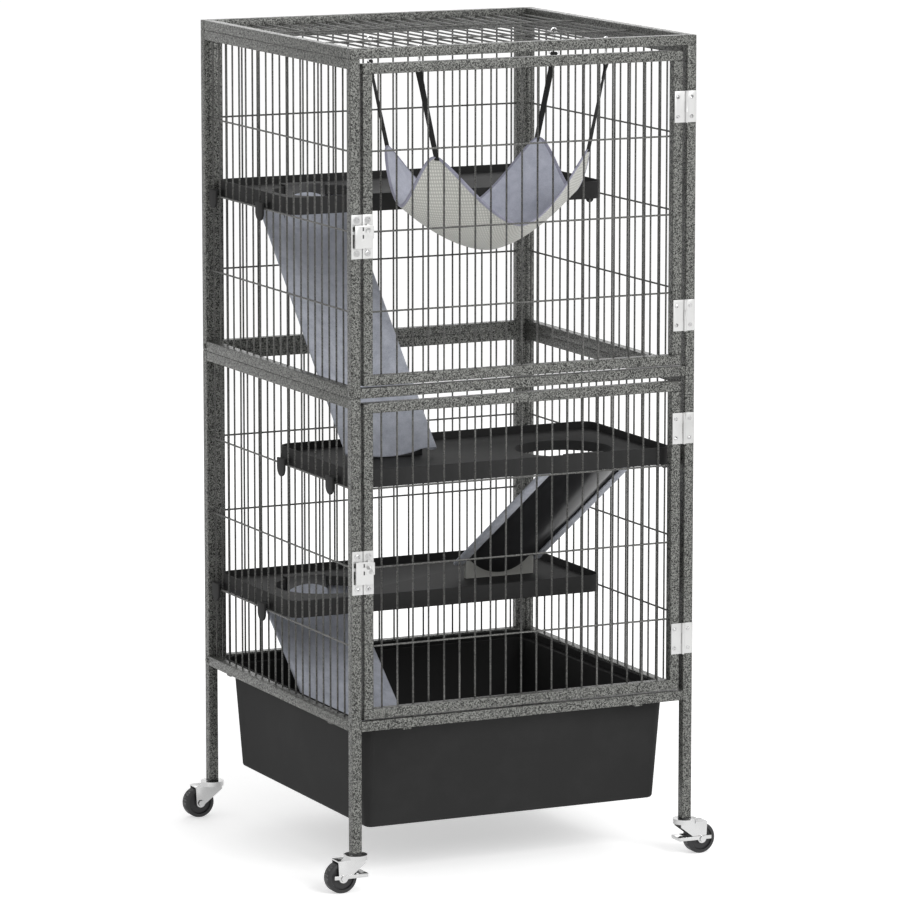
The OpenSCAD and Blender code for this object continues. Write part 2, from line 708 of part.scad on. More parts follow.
// Section of the pan's wall and floor, from the axis of a corner outwards
pan_out = [pan_r - rim_step, pan_r - rim_step - pan_taper];
function edge_arc(r, z, e) = [for (a = [0 : 15 : 90]) [r - e + e * sin(a), z + e - e * cos(a)]];
module pan_section() {
    z0 = pan_top - pan_h;
    step_z = pan_top - rim_h;
    polygon(concat([[0, z0]], edge_arc(pan_out[1], z0, pan_edge),
        [[pan_out[0], step_z], [pan_r, step_z], [pan_r, pan_top], [pan_r - pan_wall, pan_top],
         [pan_r - pan_wall, step_z + pan_wall], [pan_out[0] - pan_wall, step_z + pan_wall]],
        [for (i = [6 : -1 : 0]) edge_arc(pan_out[1] - pan_wall, pan_floor, pan_edge - pan_wall)[i]],
        [[0, pan_floor]]));
}
module base_pan() color("#202124") {
    x = pan_w / 2 - pan_r;
    y = pan_d / 2 - pan_r;
    for (s = [[x, y, 0], [-x, y, 90], [-x, -y, 180], [x, -y, 270]])
        translate([s[0], s[1], 0]) rotate([0, 0, s[2]]) rotate_extrude(angle = 90, $fn = 96) pan_section();
    for (s = [[x, y, 0], [y, x, 90], [x, y, 180], [y, x, 270]]) rotate([0, 0, s[2]])
        translate([s[0], 0, 0]) rotate([90, 0, 0]) linear_extrude(2 * s[1], center = true) pan_section();
    translate([-x, -y, pan_top - pan_h]) cube([2 * x, 2 * y, pan_wall]);
}

// Lugs under the bottom rails that carry the pan's rim
module pan_lugs() color("dimgray")
    for (side = [[0, hy], [90, hx], [180, hy], [-90, hx]], s = [-1, 1])
        on_side(side[0], side[1]) translate([s * lug_x - lug_w / 2, 2, pan_top - rim_h - rest_gap - lug_t])
            cube([lug_w, tube + pan_gap + rim_step - 3, lug_t]);

// Shelves

module shelf_hook(side, y, z)
    translate([side * (hx - row_depth), y, z]) rotate([0, 0, side < 0 ? 180 : 0]) {
        top = -shelf_under_wire + shelf_floor - shelf_wall;
        translate([-tube, -neck_w / 2, wire / 2 + rest_gap])
            cube([tube + wire / 2 + rest_gap + 1, neck_w, top - wire / 2 - rest_gap]);
        translate([wire / 2 + rest_gap, 0, 0]) rotate([90, 0, 90]) linear_extrude(tab_t) {
            translate([-tab_w / 2, -tab_drop + tab_w / 2]) square([tab_w, tab_drop - tab_w / 2 + top]);
            translate([0, -tab_drop + tab_w / 2]) circle(tab_w / 2);
        }
    }

module tray() {
    difference() {
        linear_extrude(shelf_h) rounded(shelf_w, shelf_d, shelf_r);
        translate([0, 0, shelf_floor]) linear_extrude(shelf_h)
            rounded(shelf_w - 2 * shelf_wall, shelf_d - 2 * shelf_wall, shelf_r - shelf_wall);
        translate([0, 0, -1]) linear_extrude(shelf_floor - shelf_wall + 1) difference() {
            rounded(shelf_w - 2 * shelf_wall, shelf_d - 2 * shelf_wall, shelf_r - shelf_wall);
            translate([-hole_x, hole_y]) circle(hole_r + shelf_wall);
        }
        translate([-hole_x, hole_y, -1]) cylinder(r = hole_r, h = shelf_h, $fn = 96);
    }
}

module shelf(i) {
    translate([0, shelf_y(i), shelf_z(i)]) rotate([0, 0, shelf_turned(i) ? 180 : 0]) tray();
    for (side = [-1, 1], k = shelf_gaps(i))
        shelf_hook(side, (k + 0.5) * panel_pitch, shelf_z(i) + shelf_under_wire);
}
module lower_shelf() color("#2b2c2e") shelf(0);
module middle_shelf() color("#2b2c2e") shelf(1);
module upper_shelf() color("#2b2c2e") shelf(2);

// Ramps

// Section of a ramp: a round trough between two flat flanges, the lowest point of its outside at the origin
module trough(r) translate([0, ramp_r]) circle(r, $fn = 96);
module ramp_section() difference() {
    union() {
        translate([-ramp_w / 2, ramp_dip]) square([ramp_w, ramp_t]);
        intersection() {
            trough(ramp_r);
            translate([-ramp_w / 2, -1]) square([ramp_w, ramp_dip + 2]);
        }
    }
    trough(ramp_r - ramp_t);
}

// Sweeps a section along ramp i, from s0 to s1
module along(i, s0, s1)
    translate([ramp_x(i), ramp_side(i) * ramp_foot(i)[0], ramp_foot(i)[1]])
        rotate([0, 0, ramp_side(i) < 0 ? 180 : 0]) rotate([ramp_rise(i), 0, 0])
            translate([0, s0, 0]) rotate([90, 0, 180]) linear_extrude(s1 - s0) children();

// A box given by its run along the ramp's direction, on the level
module level_box(i, w, y0, y1, z0, z1)
    translate([ramp_x(i), 0, 0]) rotate([0, 0, ramp_side(i) < 0 ? 180 : 0])
        translate([-w / 2, y0, z0]) cube([w, y1 - y0, z1 - z0]);

// All that a ramp may not reach at its upper end
module under_shelf(i) level_box(i, ramp_w + 20, ramp_foot(i)[0] - 100, ramp_top(i)[0] + 100,
    shelf_z(i) - end_gap, shelf_z(i) + 100);

module ramp(i) {
    foot = ramp_foot(i);
    lip = edge_y(i) - tongue_y;
    floor_z = shelf_z(i) + shelf_floor + rest_gap;
    difference() {
        along(i, 0, ramp_len(i) + 80) ramp_section();
        under_shelf(i);
    }
    // foot plate, up to the flanges
    difference() {
        intersection() {
            level_box(i, foot_w, foot[0] - foot_t, foot[0], ramp_base(i) + rest_gap, foot[1] + 2 * ramp_dip);
            along(i, -40, 40) translate([-ramp_w / 2, -40]) square([ramp_w, 40 + ramp_dip + ramp_t / 2]);
        }
        along(i, -60, 60) trough(ramp_r - ramp_t);
    }
    intersection() {
        level_box(i, tongue_w, lip - tongue_t, lip, foot[1], floor_z + tongue_t);
        along(i, 0, ramp_len(i) + 200) trough(ramp_r - ramp_t / 2);
    }
    level_box(i, tongue_w, lip - tongue_t, lip + tongue_y + tongue_reach, floor_z, floor_z + tongue_t);
}
module lower_ramp() color("#1c1d1f") ramp(0);
module middle_ramp() color("#1c1d1f") ramp(1);
module upper_ramp() color("#1c1d1f") ramp(2);

// Fleece that lies in the trough and on the flanges, turned under at both sides
module cover(i) {
    w = ramp_w - 2 * fleece_turn;
    lip = edge_y(i) - tongue_y;
    difference() {
        along(i, -2, ramp_len(i) + 80) difference() {
            offset(r = soft_gap + fleece_t, $fn = 32) ramp_section();
            offset(delta = soft_gap) ramp_section();
            // open under the middle
            difference() {
                translate([-w / 2, -20]) square([w, 20 + ramp_dip + ramp_t / 2]);
                trough(ramp_r - ramp_t / 2);
            }
        }
        under_shelf(i);
        level_box(i, tongue_w + 2, lip - tongue_t - soft_gap, lip + 1, ramp_foot(i)[1], shelf_z(i) + 60);
    }
    // flap on the tongue, with a rounded top
    intersection() {
        level_box(i, tongue_w, lip - tongue_t - soft_gap - fleece_t, lip - tongue_t - soft_gap,
            ramp_foot(i)[1], shelf_z(i) + shelf_floor - fleece_low);
        along(i, 0, ramp_len(i) + 200) trough(ramp_r - ramp_t - soft_gap - fleece_t / 2);
        translate([ramp_x(i), 0, shelf_z(i) + shelf_floor - fleece_low - tongue_w]) rotate([90, 0, 0])
            cylinder(r = tongue_w, h = 2 * cage_d, center = true, $fn = 96);
    }
}
module ramp_covers() color("#8f93a8") for (i = [0 : 2]) cover(i);

// Hammock

function sheet_face(i, j, s) = let (a = 2 * i / cells - 1, b = 2 * j / cells - 1)
    sheet_point(a, b) + s * fabric_t / 2 * sheet_normal(a, b);
function id(i, j, s) = (s > 0 ? pow(cells + 1, 2) : 0) + j * (cells + 1) + i;
module hammock() color("#9a9db0") {
    n = cells;
    points = [for (s = [-1, 1], j = [0 : n], i = [0 : n]) sheet_face(i, j, s)];
    skin = [for (j = [0 : n - 1], i = [0 : n - 1]) each [
        [id(i, j, 1), id(i, j + 1, 1), id(i + 1, j + 1, 1)], [id(i, j, 1), id(i + 1, j + 1, 1), id(i + 1, j, 1)],
        [id(i, j, -1), id(i + 1, j + 1, -1), id(i, j + 1, -1)],
        [id(i, j, -1), id(i + 1, j, -1), id(i + 1, j + 1, -1)]]];
    edge = concat([for (i = [0 : n - 1]) [i, 0, i + 1, 0]], [for (j = [0 : n - 1]) [n, j, n, j + 1]],
        [for (i = [0 : n - 1]) [n - i, n, n - i - 1, n]], [for (j = [0 : n - 1]) [0, n - j, 0, n - j - 1]]);
    hem = [for (e = edge) each [[id(e[0], e[1], -1), id(e[2], e[3], 1), id(e[2], e[3], -1)],
        [id(e[0], e[1], -1), id(e[0], e[1], 1), id(e[2], e[3], 1)]]];
    polyhedron(points, concat(skin, hem));
}

// Straps and the eyes of their hooks stand across the diagonals of the hammock
function turn(s, t) = s == t ? -45 : 45;
eye_z = hook_l - ring_r - ring_t - eye_h;
bar_z = eye_z + eye_h;
loop_r = ring_t * sqrt(2) + soft_gap;

// A strap from each corner to the lower bar of its snap hook's eye
module hammock_straps() color("#141414")
    for (s = [0, 1], t = [0, 1]) {
        h = hook_at(s, t) - [0, 0, bar_z];
        c = sheet_point(2 * s - 1, 2 * t - 1);
        up = h - [0, 0, loop_r + strap_t];
        foot = c + (up - c) / norm(up - c) * sewn;
        // loop round the bar
        translate(h) rotate([0, 0, turn(s, t)]) rotate([0, 90, 0]) difference() {
            cylinder(r = loop_r + strap_t, h = strap_w, center = true);
            cylinder(r = loop_r, h = strap_w + 2, center = true);
        }
        hull() {
            translate(up - [0, 0, 1]) rotate([0, 0, turn(s, t)])
                translate([-strap_w / 2, -strap_t / 2, 0]) cube([strap_w, strap_t, 1.2]);
            translate(foot) rotate([0, 0, turn(s, t)])
                translate([-strap_w / 2, -strap_t / 2, 0]) cube([strap_w, strap_t, 1]);
        }
    }

// A ring round a wire of the roof, a barrel, and a square eye for the strap
barrel_z = ring_r + 4;
module hook_ring() difference() {
    union() {
        circle(ring_r + ring_t);
        translate([-2, -barrel_z - 4]) square([4, barrel_z + 4 - ring_r]);
    }
    circle(ring_r - ring_t);
}
module hook_eye() {
    translate([-2, -eye_z]) square([4, eye_z - barrel_z]);
    difference() {
        translate([-eye_w / 2 - ring_t, -bar_z - ring_t]) square([eye_w + 2 * ring_t, eye_h + 2 * ring_t]);
        translate([-eye_w / 2 + ring_t, -bar_z + ring_t]) square([eye_w - 2 * ring_t, eye_h - 2 * ring_t]);
    }
}
module hammock_hooks() color("silver")
    for (s = [0, 1], t = [0, 1]) translate(hook_at(s, t)) {
        rotate([90, 0, 0]) linear_extrude(2 * ring_t, center = true) hook_ring();
        rotate([90, 0, turn(s, t)]) linear_extrude(2 * ring_t, center = true) hook_eye();
        translate([0, 0, -barrel_z - 6]) cylinder(r = 3, h = 8);
    }

// Casters

module at_caster(x, y) translate([x * post_x, y * post_y, 0]) rotate([0, 0, x < 0 ? 180 : 0]) children();

module caster_sockets() color("black")
    for (x = [-1, 1], y = [-1, 1]) translate([x * post_x, y * post_y, post_z]) difference() {
        union() {
            translate([-tube / 2, -tube / 2, -flange_t]) cube([tube, tube, flange_t]);
            translate([-plug_w / 2, -plug_w / 2, -1]) cube([plug_w, plug_w, stem_l + 3]);
        }
        translate([0, 0, -10]) cylinder(r = stem_r + caster_fit, h = stem_l + 20);
    }

module fork() color("silver") {
    axle_z = wheel_d / 2;
    translate([0, 0, crown_z]) linear_extrude(crown_t) {
        circle(race_r);
        translate([0, -fork_y - fork_t]) square([trail + 9, 2 * (fork_y + fork_t)]);
    }
    translate([0, 0, crown_z + crown_t - 0.1]) cylinder(r = race_r, h = race_h + 0.1);
    translate([0, 0, race_top - 1]) cylinder(r = stem_r, h = stem_l + 1);
    for (s = [-1, 1]) translate([0, s > 0 ? fork_y + fork_t : -fork_y, 0]) rotate([90, 0, 0])
        linear_extrude(fork_t) difference() {
            union() {
                polygon([[-12, crown_z + 0.5], [-12, crown_z - 5], [trail - 7, axle_z - 2.5],
                    [trail + 7.4, axle_z - 1], [trail + 9, crown_z + 0.5]]);
                translate([trail, axle_z]) circle(7.5);
            }
            translate([trail, axle_z]) circle(axle_r + 0.02);
        }
}
module front_left_fork() at_caster(-1, -1) fork();
module front_right_fork() at_caster(1, -1) fork();
module back_left_fork() at_caster(-1, 1) fork();
module back_right_fork() at_caster(1, 1) fork();

module axle() color("gainsboro") translate([trail, 0, wheel_d / 2]) rotate([90, 0, 0]) {
    translate([0, 0, -axle_y - 0.5]) cylinder(r = axle_r, h = 2 * axle_y + 1);
    for (z = [-axle_y - head_t, axle_y]) translate([0, 0, z]) cylinder(r = axle_r + 2.2, h = head_t, $fn = 6);
}
module front_left_axle() at_caster(-1, -1) axle();
module front_right_axle() at_caster(1, -1) axle();
module back_left_axle() at_caster(-1, 1) axle();
module back_right_axle() at_caster(1, 1) axle();

module wheel() color("#222222") translate([trail, wheel_w / 2, wheel_d / 2]) rotate([90, 0, 0])
    rotate_extrude($fn = 96) {
        r = wheel_d / 2;
        b = axle_r + caster_fit;
        polygon([[b, -0.6], [b + 5, -0.6], [b + 5, 3], [r - 7, 3], [r - 6, 0], [r - 2, 0], [r, 2.5],
            [r, wheel_w - 2.5], [r - 2, wheel_w], [r - 6, wheel_w], [r - 7, wheel_w - 3],
            [b + 5, wheel_w - 3], [b + 5, wheel_w + 0.6], [b, wheel_w + 0.6]]);
    }
module front_left_wheel() at_caster(-1, -1) wheel();
module front_right_wheel() at_caster(1, -1) wheel();
module back_left_wheel() at_caster(-1, 1) wheel();
module back_right_wheel() at_caster(1, 1) wheel();

// Side arms on the axle, joined by a pedal of bent sheet on the far side of the stem
pedal_back = 16;
module brake() color("#2a2a2a") translate([trail, 0, wheel_d / 2]) {
    for (s = [-1, 1]) translate([0, s > 0 ? arm_y + arm_t : -arm_y, 0]) rotate([90, 0, 0])
        linear_extrude(arm_t) difference() {
            union() {
                translate([-pedal_l, -1]) square([pedal_l + pedal_back, 6]);
                circle(5.5);
            }
            circle(axle_r + caster_fit);
        }
    translate([-pedal_l, -arm_y - arm_t, 5 - arm_t]) cube([13, 2 * (arm_y + arm_t), arm_t]);
    translate([-pedal_l, -arm_y - arm_t, -1]) cube([arm_t, 2 * (arm_y + arm_t), 6]);
}
module front_left_brake() at_caster(-1, -1) brake();
module front_right_brake() at_caster(1, -1) brake();

lower_left_frame();
lower_right_frame();
lower_back_frame();
upper_left_frame();
upper_right_frame();
upper_back_frame();
roof_frame();
front_rails();
lower_left_grille();
lower_right_grille();
lower_back_grille();
upper_left_grille();
upper_right_grille();
upper_back_grille();
roof_grille();
lower_door_frame();
upper_door_frame();
lower_door_grille();
upper_door_grille();
post_hinge_leaves();
lower_door_hinge_leaves();
upper_door_hinge_leaves();
hinge_pins();
latch_keepers();
lower_latch_plate();
upper_latch_plate();
lower_latch_slider();
upper_latch_slider();
post_fixings();
lower_door_fixings();
upper_door_fixings();
frame_screws();
post_spigots();
base_pan();
pan_lugs();
upper_shelf();
middle_shelf();
lower_shelf();
upper_ramp();
middle_ramp();
lower_ramp();
ramp_covers();
hammock();
hammock_straps();
hammock_hooks();
caster_sockets();
front_left_fork();
front_right_fork();
back_left_fork();
back_right_fork();
front_left_axle();
front_right_axle();
back_left_axle();
back_right_axle();
front_left_wheel();
front_right_wheel();
back_left_wheel();
back_right_wheel();
front_left_brake();
front_right_brake();
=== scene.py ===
# %% [markdown]
# # A two-storey cage for small animals
# The real cage is a frame of square steel tube with wire grilles welded into it, painted in dark
# hammertone. Two doors hang on the right post, three moulded shelves hook over the wires, covered
# ramps join them, a deep pan closes the bottom and a hammock hangs from the roof. The CAD model
# gives every rigid piece its true size, so this file only gives them soft edges and real surfaces,
# and makes the cloth pieces that CAD can't.

# %% Load the cage and note its box
import json
import math
import bpy
import bmesh
from mathutils import Matrix, Vector


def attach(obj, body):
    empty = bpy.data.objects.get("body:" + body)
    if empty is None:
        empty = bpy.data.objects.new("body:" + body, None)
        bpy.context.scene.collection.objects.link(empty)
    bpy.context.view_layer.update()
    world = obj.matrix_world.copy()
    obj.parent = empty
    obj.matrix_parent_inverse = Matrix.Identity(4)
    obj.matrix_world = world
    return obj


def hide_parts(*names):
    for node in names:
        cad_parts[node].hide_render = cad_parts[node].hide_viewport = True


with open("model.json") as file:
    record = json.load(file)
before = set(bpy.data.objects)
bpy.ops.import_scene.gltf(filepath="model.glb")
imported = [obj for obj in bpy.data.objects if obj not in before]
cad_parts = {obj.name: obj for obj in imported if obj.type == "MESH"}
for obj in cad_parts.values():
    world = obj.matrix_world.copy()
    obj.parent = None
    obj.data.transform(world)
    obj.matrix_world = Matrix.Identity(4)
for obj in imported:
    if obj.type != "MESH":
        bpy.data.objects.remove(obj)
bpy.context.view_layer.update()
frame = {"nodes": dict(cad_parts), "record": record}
MM = 0.001

# %% [markdown]
# ## Camera
# The photograph was taken with a long lens from the left of the doors and a little above the middle.
# The camera comes first, because every choice of detail is judged through it. Its place was found
# from the corners of the frame, so it is written down here as numbers.

# %% Set up the camera
lens = bpy.data.cameras.new("camera")
lens.sensor_width = 36
lens.lens = 217.98
lens.clip_end = 200
camera = bpy.data.objects.new("camera", lens)
camera.location = (-3.724, -7.909, 2.0774)
camera.rotation_euler = (math.radians(80.66), 0, math.radians(-25.27))
bpy.context.collection.objects.link(camera)
bpy.context.scene.camera = camera
bpy.context.scene.view_settings.view_transform = "Standard"
print("camera with a lens of", lens.lens, "mm")

# %% [markdown]
# ## Helpers for modelling
# Blender's operators act on whatever is selected, so a piece must be the only thing selected before
# it is worked on. These helpers do that, and keep edit mode to the few lines that need it.

# %% Select one piece, and edit it
def only(obj):
    bpy.ops.object.select_all(action="DESELECT")
    obj.select_set(True)
    bpy.context.view_layer.objects.active = obj
    return obj


def edit(obj, work):
    only(obj)
    bpy.ops.object.mode_set(mode="EDIT")
    work(obj)
    bpy.ops.object.mode_set(mode="OBJECT")
    return obj


def pick(obj, test, kind="faces"):
    """Selects in edit mode the faces, edges or corners of obj that pass the test."""
    mesh = bmesh.from_edit_mesh(obj.data)
    bpy.ops.mesh.select_all(action="DESELECT")
    for item in getattr(mesh, kind):
        if test(item):
            item.select_set(True)
    mesh.select_flush_mode()
    bmesh.update_edit_mesh(obj.data)


def apply_modifier(obj, kind, **settings):
    only(obj)
    modifier = obj.modifiers.new(kind.title(), kind)
    for name, value in settings.items():
        setattr(modifier, name, value)
    bpy.ops.object.modifier_apply(modifier=modifier.name)
    return obj


def smooth(obj, degrees=35):
    only(obj)
    bpy.ops.object.shade_smooth_by_angle(angle=math.radians(degrees))
    return obj


def body_with(name):
    return next(b for b, nodes in frame["record"]["behaviour"]["bodies"].items() if name in nodes)


def slot_with(name):
    return next(s["material_slot"] for s in frame["record"]["subparts"] if s["node"] == name)


def place(obj, name, material):
    """Gives a finished piece its material, and lets it stand for a node of CAD on the node's body."""
    if material:
        obj.data.materials.clear()
        obj.data.materials.append(material)
    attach(obj, body_with(name))
    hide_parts(name)
    return obj


# %% [markdown]
# ## Shader groups
# Hammertone paint, cloth and moulded plastic all need an uneven surface. The same few effects serve
# several materials, so each is a node group with its own sockets, used with other numbers in every
# material. The groups read Object coordinates, because the pieces keep their place in their mesh.

# %% A small tool kit for node trees
def colour(r, g, b):
    return (r, g, b, 1)


def grey(tone):
    return colour(tone, tone, tone)


def node(tree, kind, settings=None, **inputs):
    """Adds a node, sets its properties, and sets or links its inputs."""
    new = tree.nodes.new(kind)
    for name, value in (settings or {}).items():
        setattr(new, name, value)
    for name, value in inputs.items():
        socket = new.inputs[int(name[1:])] if name[0] == "_" else new.inputs[name.replace("_", " ")]
        if isinstance(value, bpy.types.NodeSocket):
            tree.links.new(value, socket)
        else:
            socket.default_value = value
    return new


def new_group(name, inputs, outputs):
    """An empty group: inputs are (name, kind, value), outputs are (name, kind)."""
    tree = bpy.data.node_groups.new(name, "ShaderNodeTree")
    for title, kind, value in inputs:
        socket = tree.interface.new_socket(name=title, in_out="INPUT", socket_type="NodeSocket" + kind)
        socket.default_value = value
    for title, kind in outputs:
        tree.interface.new_socket(name=title, in_out="OUTPUT", socket_type="NodeSocket" + kind)
    return tree, tree.nodes.new("NodeGroupInput"), tree.nodes.new("NodeGroupOutput")


def ramp(tree, fac, stops):
    new = node(tree, "ShaderNodeValToRGB", _0=fac)
    new.color_ramp.elements[0].position, new.color_ramp.elements[1].position = stops[0][0], stops[-1][0]
    for position, _ in stops[1:-1]:
        new.color_ramp.elements.new(position)
    for element, (_, tone) in zip(new.color_ramp.elements, stops):
        element.color = grey(tone)
    return new.outputs[0]


def mix(tree, fac, a, b):
    new = node(tree, "ShaderNodeMix", {"data_type": "RGBA"}, _0=fac, _6=a, _7=b)
    return new.outputs[2]


def maths(tree, operation, a, b=0.0, c=0.5):
    return node(tree, "ShaderNodeMath", {"operation": operation}, _0=a, _1=b, _2=c).outputs[0]


# %% Hammertone: light veins on a dark ground, with a dimpled height
flecks, given, put = new_group(
    "Hammertone",
    [("Size", "Float", 1.0), ("Ground", "Color", grey(0.05)), ("Fleck", "Color", grey(0.4))],
    [("Color", "Color"), ("Height", "Float"), ("Gloss", "Float")])
spot = node(flecks, "ShaderNodeTexCoord").outputs["Object"]
spread = maths(flecks, "DIVIDE", 440.0, given.outputs["Size"])
drift = node(flecks, "ShaderNodeTexNoise", Vector=spot, Scale=spread, Detail=1.5, Roughness=0.5,
             Distortion=1.2)
veins = ramp(flecks, drift.outputs["Fac"], [(0.44, 0.0), (0.5, 0.4), (0.56, 1.0)])
mottled = mix(flecks, veins, given.outputs["Ground"], given.outputs["Fleck"])
flecks.links.new(mottled, put.inputs["Color"])
flecks.links.new(drift.outputs["Fac"], put.inputs["Height"])
flecks.links.new(maths(flecks, "MULTIPLY_ADD", veins, -0.18, 0.52), put.inputs["Gloss"])
print("hammertone group", len(flecks.nodes), "nodes")

# %% Grain: the fine skin of moulded plastic, and slow patches in its tone
grain, given, put = new_group(
    "Moulded grain",
    [("Size", "Float", 1.0), ("Tone", "Color", grey(0.03)), ("Worn", "Color", grey(0.07))],
    [("Color", "Color"), ("Height", "Float")])
spot = node(grain, "ShaderNodeTexCoord").outputs["Object"]
spread = maths(grain, "DIVIDE", 900.0, given.outputs["Size"])
fine = node(grain, "ShaderNodeTexNoise", Vector=spot, Scale=spread, Detail=2.0)
patch = node(grain, "ShaderNodeTexNoise", Vector=spot, Scale=14.0, Detail=4.0, Roughness=0.6)
worn = ramp(grain, patch.outputs["Fac"], [(0.45, 0.0), (0.75, 1.0)])
patchy = mix(grain, worn, given.outputs["Tone"], given.outputs["Worn"])
grain.links.new(patchy, put.inputs["Color"])
grain.links.new(fine.outputs["Fac"], put.inputs["Height"])

# %% Nap: the short pile of fleece, a fine fuzz with faint brushed streaks
nap, given, put = new_group(
    "Fleece nap",
    [("Size", "Float", 1.0), ("Pile", "Color", colour(0.3, 0.3, 0.4)),
     ("Tip", "Color", colour(0.5, 0.5, 0.6))],
    [("Color", "Color"), ("Height", "Float")])
spot = node(nap, "ShaderNodeTexCoord").outputs["Object"]
spread = maths(nap, "DIVIDE", 1100.0, given.outputs["Size"])
fuzz = node(nap, "ShaderNodeTexNoise", Vector=spot, Scale=spread, Detail=3.0, Roughness=0.7)
brushed = node(nap, "ShaderNodeTexNoise", Vector=spot, Scale=60.0, Detail=3.0, Roughness=0.6)
both = maths(nap, "ADD", maths(nap, "MULTIPLY", fuzz.outputs["Fac"], 0.65),
             maths(nap, "MULTIPLY", brushed.outputs["Fac"], 0.35))
tips = ramp(nap, both, [(0.38, 0.0), (0.62, 1.0)])
nap.links.new(mix(nap, tips, given.outputs["Pile"], given.outputs["Tip"]), put.inputs["Color"])
nap.links.new(both, put.inputs["Height"])

# %% Weave: threads over and under on the piece's own UV map, with a dot in every other cell
weave, given, put = new_group(
    "Woven cloth",
    [("Pitch", "Float", 0.004), ("Thread", "Color", grey(0.5)), ("Hole", "Color", grey(0.3))],
    [("Color", "Color"), ("Height", "Float")])
cell = node(weave, "ShaderNodeVectorMath", {"operation": "DIVIDE"},
            _0=node(weave, "ShaderNodeUVMap").outputs[0], _1=given.outputs["Pitch"])
wave = [maths(weave, "SINE", maths(weave, "MULTIPLY", s, 2 * math.pi)) for s in
        node(weave, "ShaderNodeSeparateXYZ", _0=cell.outputs[0]).outputs[:2]]
crossed = maths(weave, "MULTIPLY", wave[0], wave[1])
dots = ramp(weave, maths(weave, "MULTIPLY_ADD", crossed, 0.5, 0.5), [(0.30, 0.0), (0.45, 1.0)])
woven = mix(weave, dots, given.outputs["Thread"], given.outputs["Hole"])
weave.links.new(woven, put.inputs["Color"])
weave.links.new(maths(weave, "SUBTRACT", 1.0, dots), put.inputs["Height"])
print("grain, nap and weave groups", [len(group.nodes) for group in (grain, nap, weave)])

# %% [markdown]
# ## Materials
# Each surface of the cage gets its own material. The paint is a little glossy, so its dimples catch
# the light. The pan and shelves are matt black plastic, the ramps are glossier. A material is a group
# with its scale and two colours. Values that are the same all over, such as the sheen of the fleece,
# are set on the shader itself.

# %% Build a material from a group
def material(name, group, scale, first, second, metallic=0.0, roughness=0.5, bump=0.2, depth=0.0004,
             **shader):
    made = bpy.data.materials.new(name)
    made.use_nodes = True
    tree = made.node_tree
    surface = tree.nodes["Principled BSDF"]
    surface.inputs["Metallic"].default_value = metallic
    surface.inputs["Roughness"].default_value = roughness
    for title, value in shader.items():
        surface.inputs[title.replace("_", " ")].default_value = value
    look = node(tree, "ShaderNodeGroup", {"node_tree": group}, _0=scale, _1=first, _2=second)
    tree.links.new(look.outputs["Color"], surface.inputs["Base Color"])
    if "Gloss" in look.outputs:
        tree.links.new(look.outputs["Gloss"], surface.inputs["Roughness"])
    relief = node(tree, "ShaderNodeBump", Strength=bump, Distance=depth, Height=look.outputs["Height"])
    tree.links.new(relief.outputs[0], surface.inputs["Normal"])
    return made


tube_paint = material("tube paint", flecks, 1.0, colour(0.012, 0.012, 0.011), colour(0.20, 0.203, 0.19),
                      metallic=0.2, bump=0.5, depth=0.0005, Coat_Weight=0.05, Specular_IOR_Level=0.35)
wire_paint = material("wire paint", flecks, 0.6, colour(0.03, 0.03, 0.029), colour(0.155, 0.155, 0.147),
                      metallic=0.3, bump=0.3, depth=0.0002)
shelf_plastic = material("shelf plastic", grain, 1.0, grey(0.022), grey(0.027), roughness=0.75, bump=0.15,
                         depth=0.0002, Specular_IOR_Level=0.2)
pan_plastic = material("pan plastic", grain, 1.3, grey(0.020), grey(0.024), roughness=0.7, bump=0.12,
                       depth=0.0002, Specular_IOR_Level=0.12)
# Painted light: a light grey for the one foot plate that faces the lamps, while the same feet on the other
# ramps keep the ramp's black
lit_foot_plate = material("foot plate", grain, 1.0, colour(0.36, 0.36, 0.34), colour(0.42, 0.42, 0.39),
                        roughness=0.6, bump=0.15, depth=0.0002)
ramp_plastic = material("ramp plastic", grain, 2.0, colour(0.016, 0.016, 0.017),
                        colour(0.022, 0.022, 0.023), roughness=0.3, bump=0.08, depth=0.0002)
nylon = material("nylon", grain, 1.0, grey(0.02), grey(0.03), roughness=0.45, bump=0.1)
tread = material("wheel rubber", grain, 0.8, colour(0.013, 0.013, 0.014), colour(0.020, 0.020, 0.021),
                 roughness=0.5, bump=0.2, depth=0.0002)
zinc = material("zinc plate", grain, 1.2, colour(0.56, 0.56, 0.555), colour(0.48, 0.48, 0.475),
                metallic=0.7, roughness=0.38, bump=0.06, depth=0.0002)
steel = material("bright steel", grain, 1.0, grey(0.48), grey(0.38), metallic=1.0, roughness=0.25,
                 bump=0.04, depth=0.0001)
chrome = material("chrome", grain, 3.0, grey(0.60), grey(0.52), metallic=1.0, roughness=0.2,
                  bump=0.03, depth=0.0001)
nickel = material("nickel plate", grain, 2.0, grey(0.88), grey(0.80), metallic=1.0, roughness=0.14,
                  bump=0.02, depth=0.0001)
# Painted shade: a darker steel for the inner and lower faces of the forks, where the wheel and the fork
# keep the light out
fork_shade_steel = material("fork shade steel", grain, 1.5, grey(0.10), grey(0.05), metallic=0.7, roughness=0.55,
                      bump=0.1, depth=0.0002)
fleece = material("fleece", nap, 1.0, colour(0.27, 0.285, 0.335), colour(0.48, 0.50, 0.56),
                  roughness=0.95, bump=0.5, depth=0.0008, Sheen_Weight=0.25, Sheen_Roughness=0.5)
lining = material("hammock lining", nap, 1.0, colour(0.36, 0.375, 0.45), colour(0.54, 0.555, 0.63),
                  roughness=0.95, bump=0.5, depth=0.0008, Sheen_Weight=0.3, Sheen_Roughness=0.5)
mesh_cloth = material("mesh cloth", weave, 0.0066, colour(0.62, 0.62, 0.58), colour(0.42, 0.42, 0.39),
                      roughness=0.9, bump=0.3, depth=0.0006, Sheen_Weight=0.15)
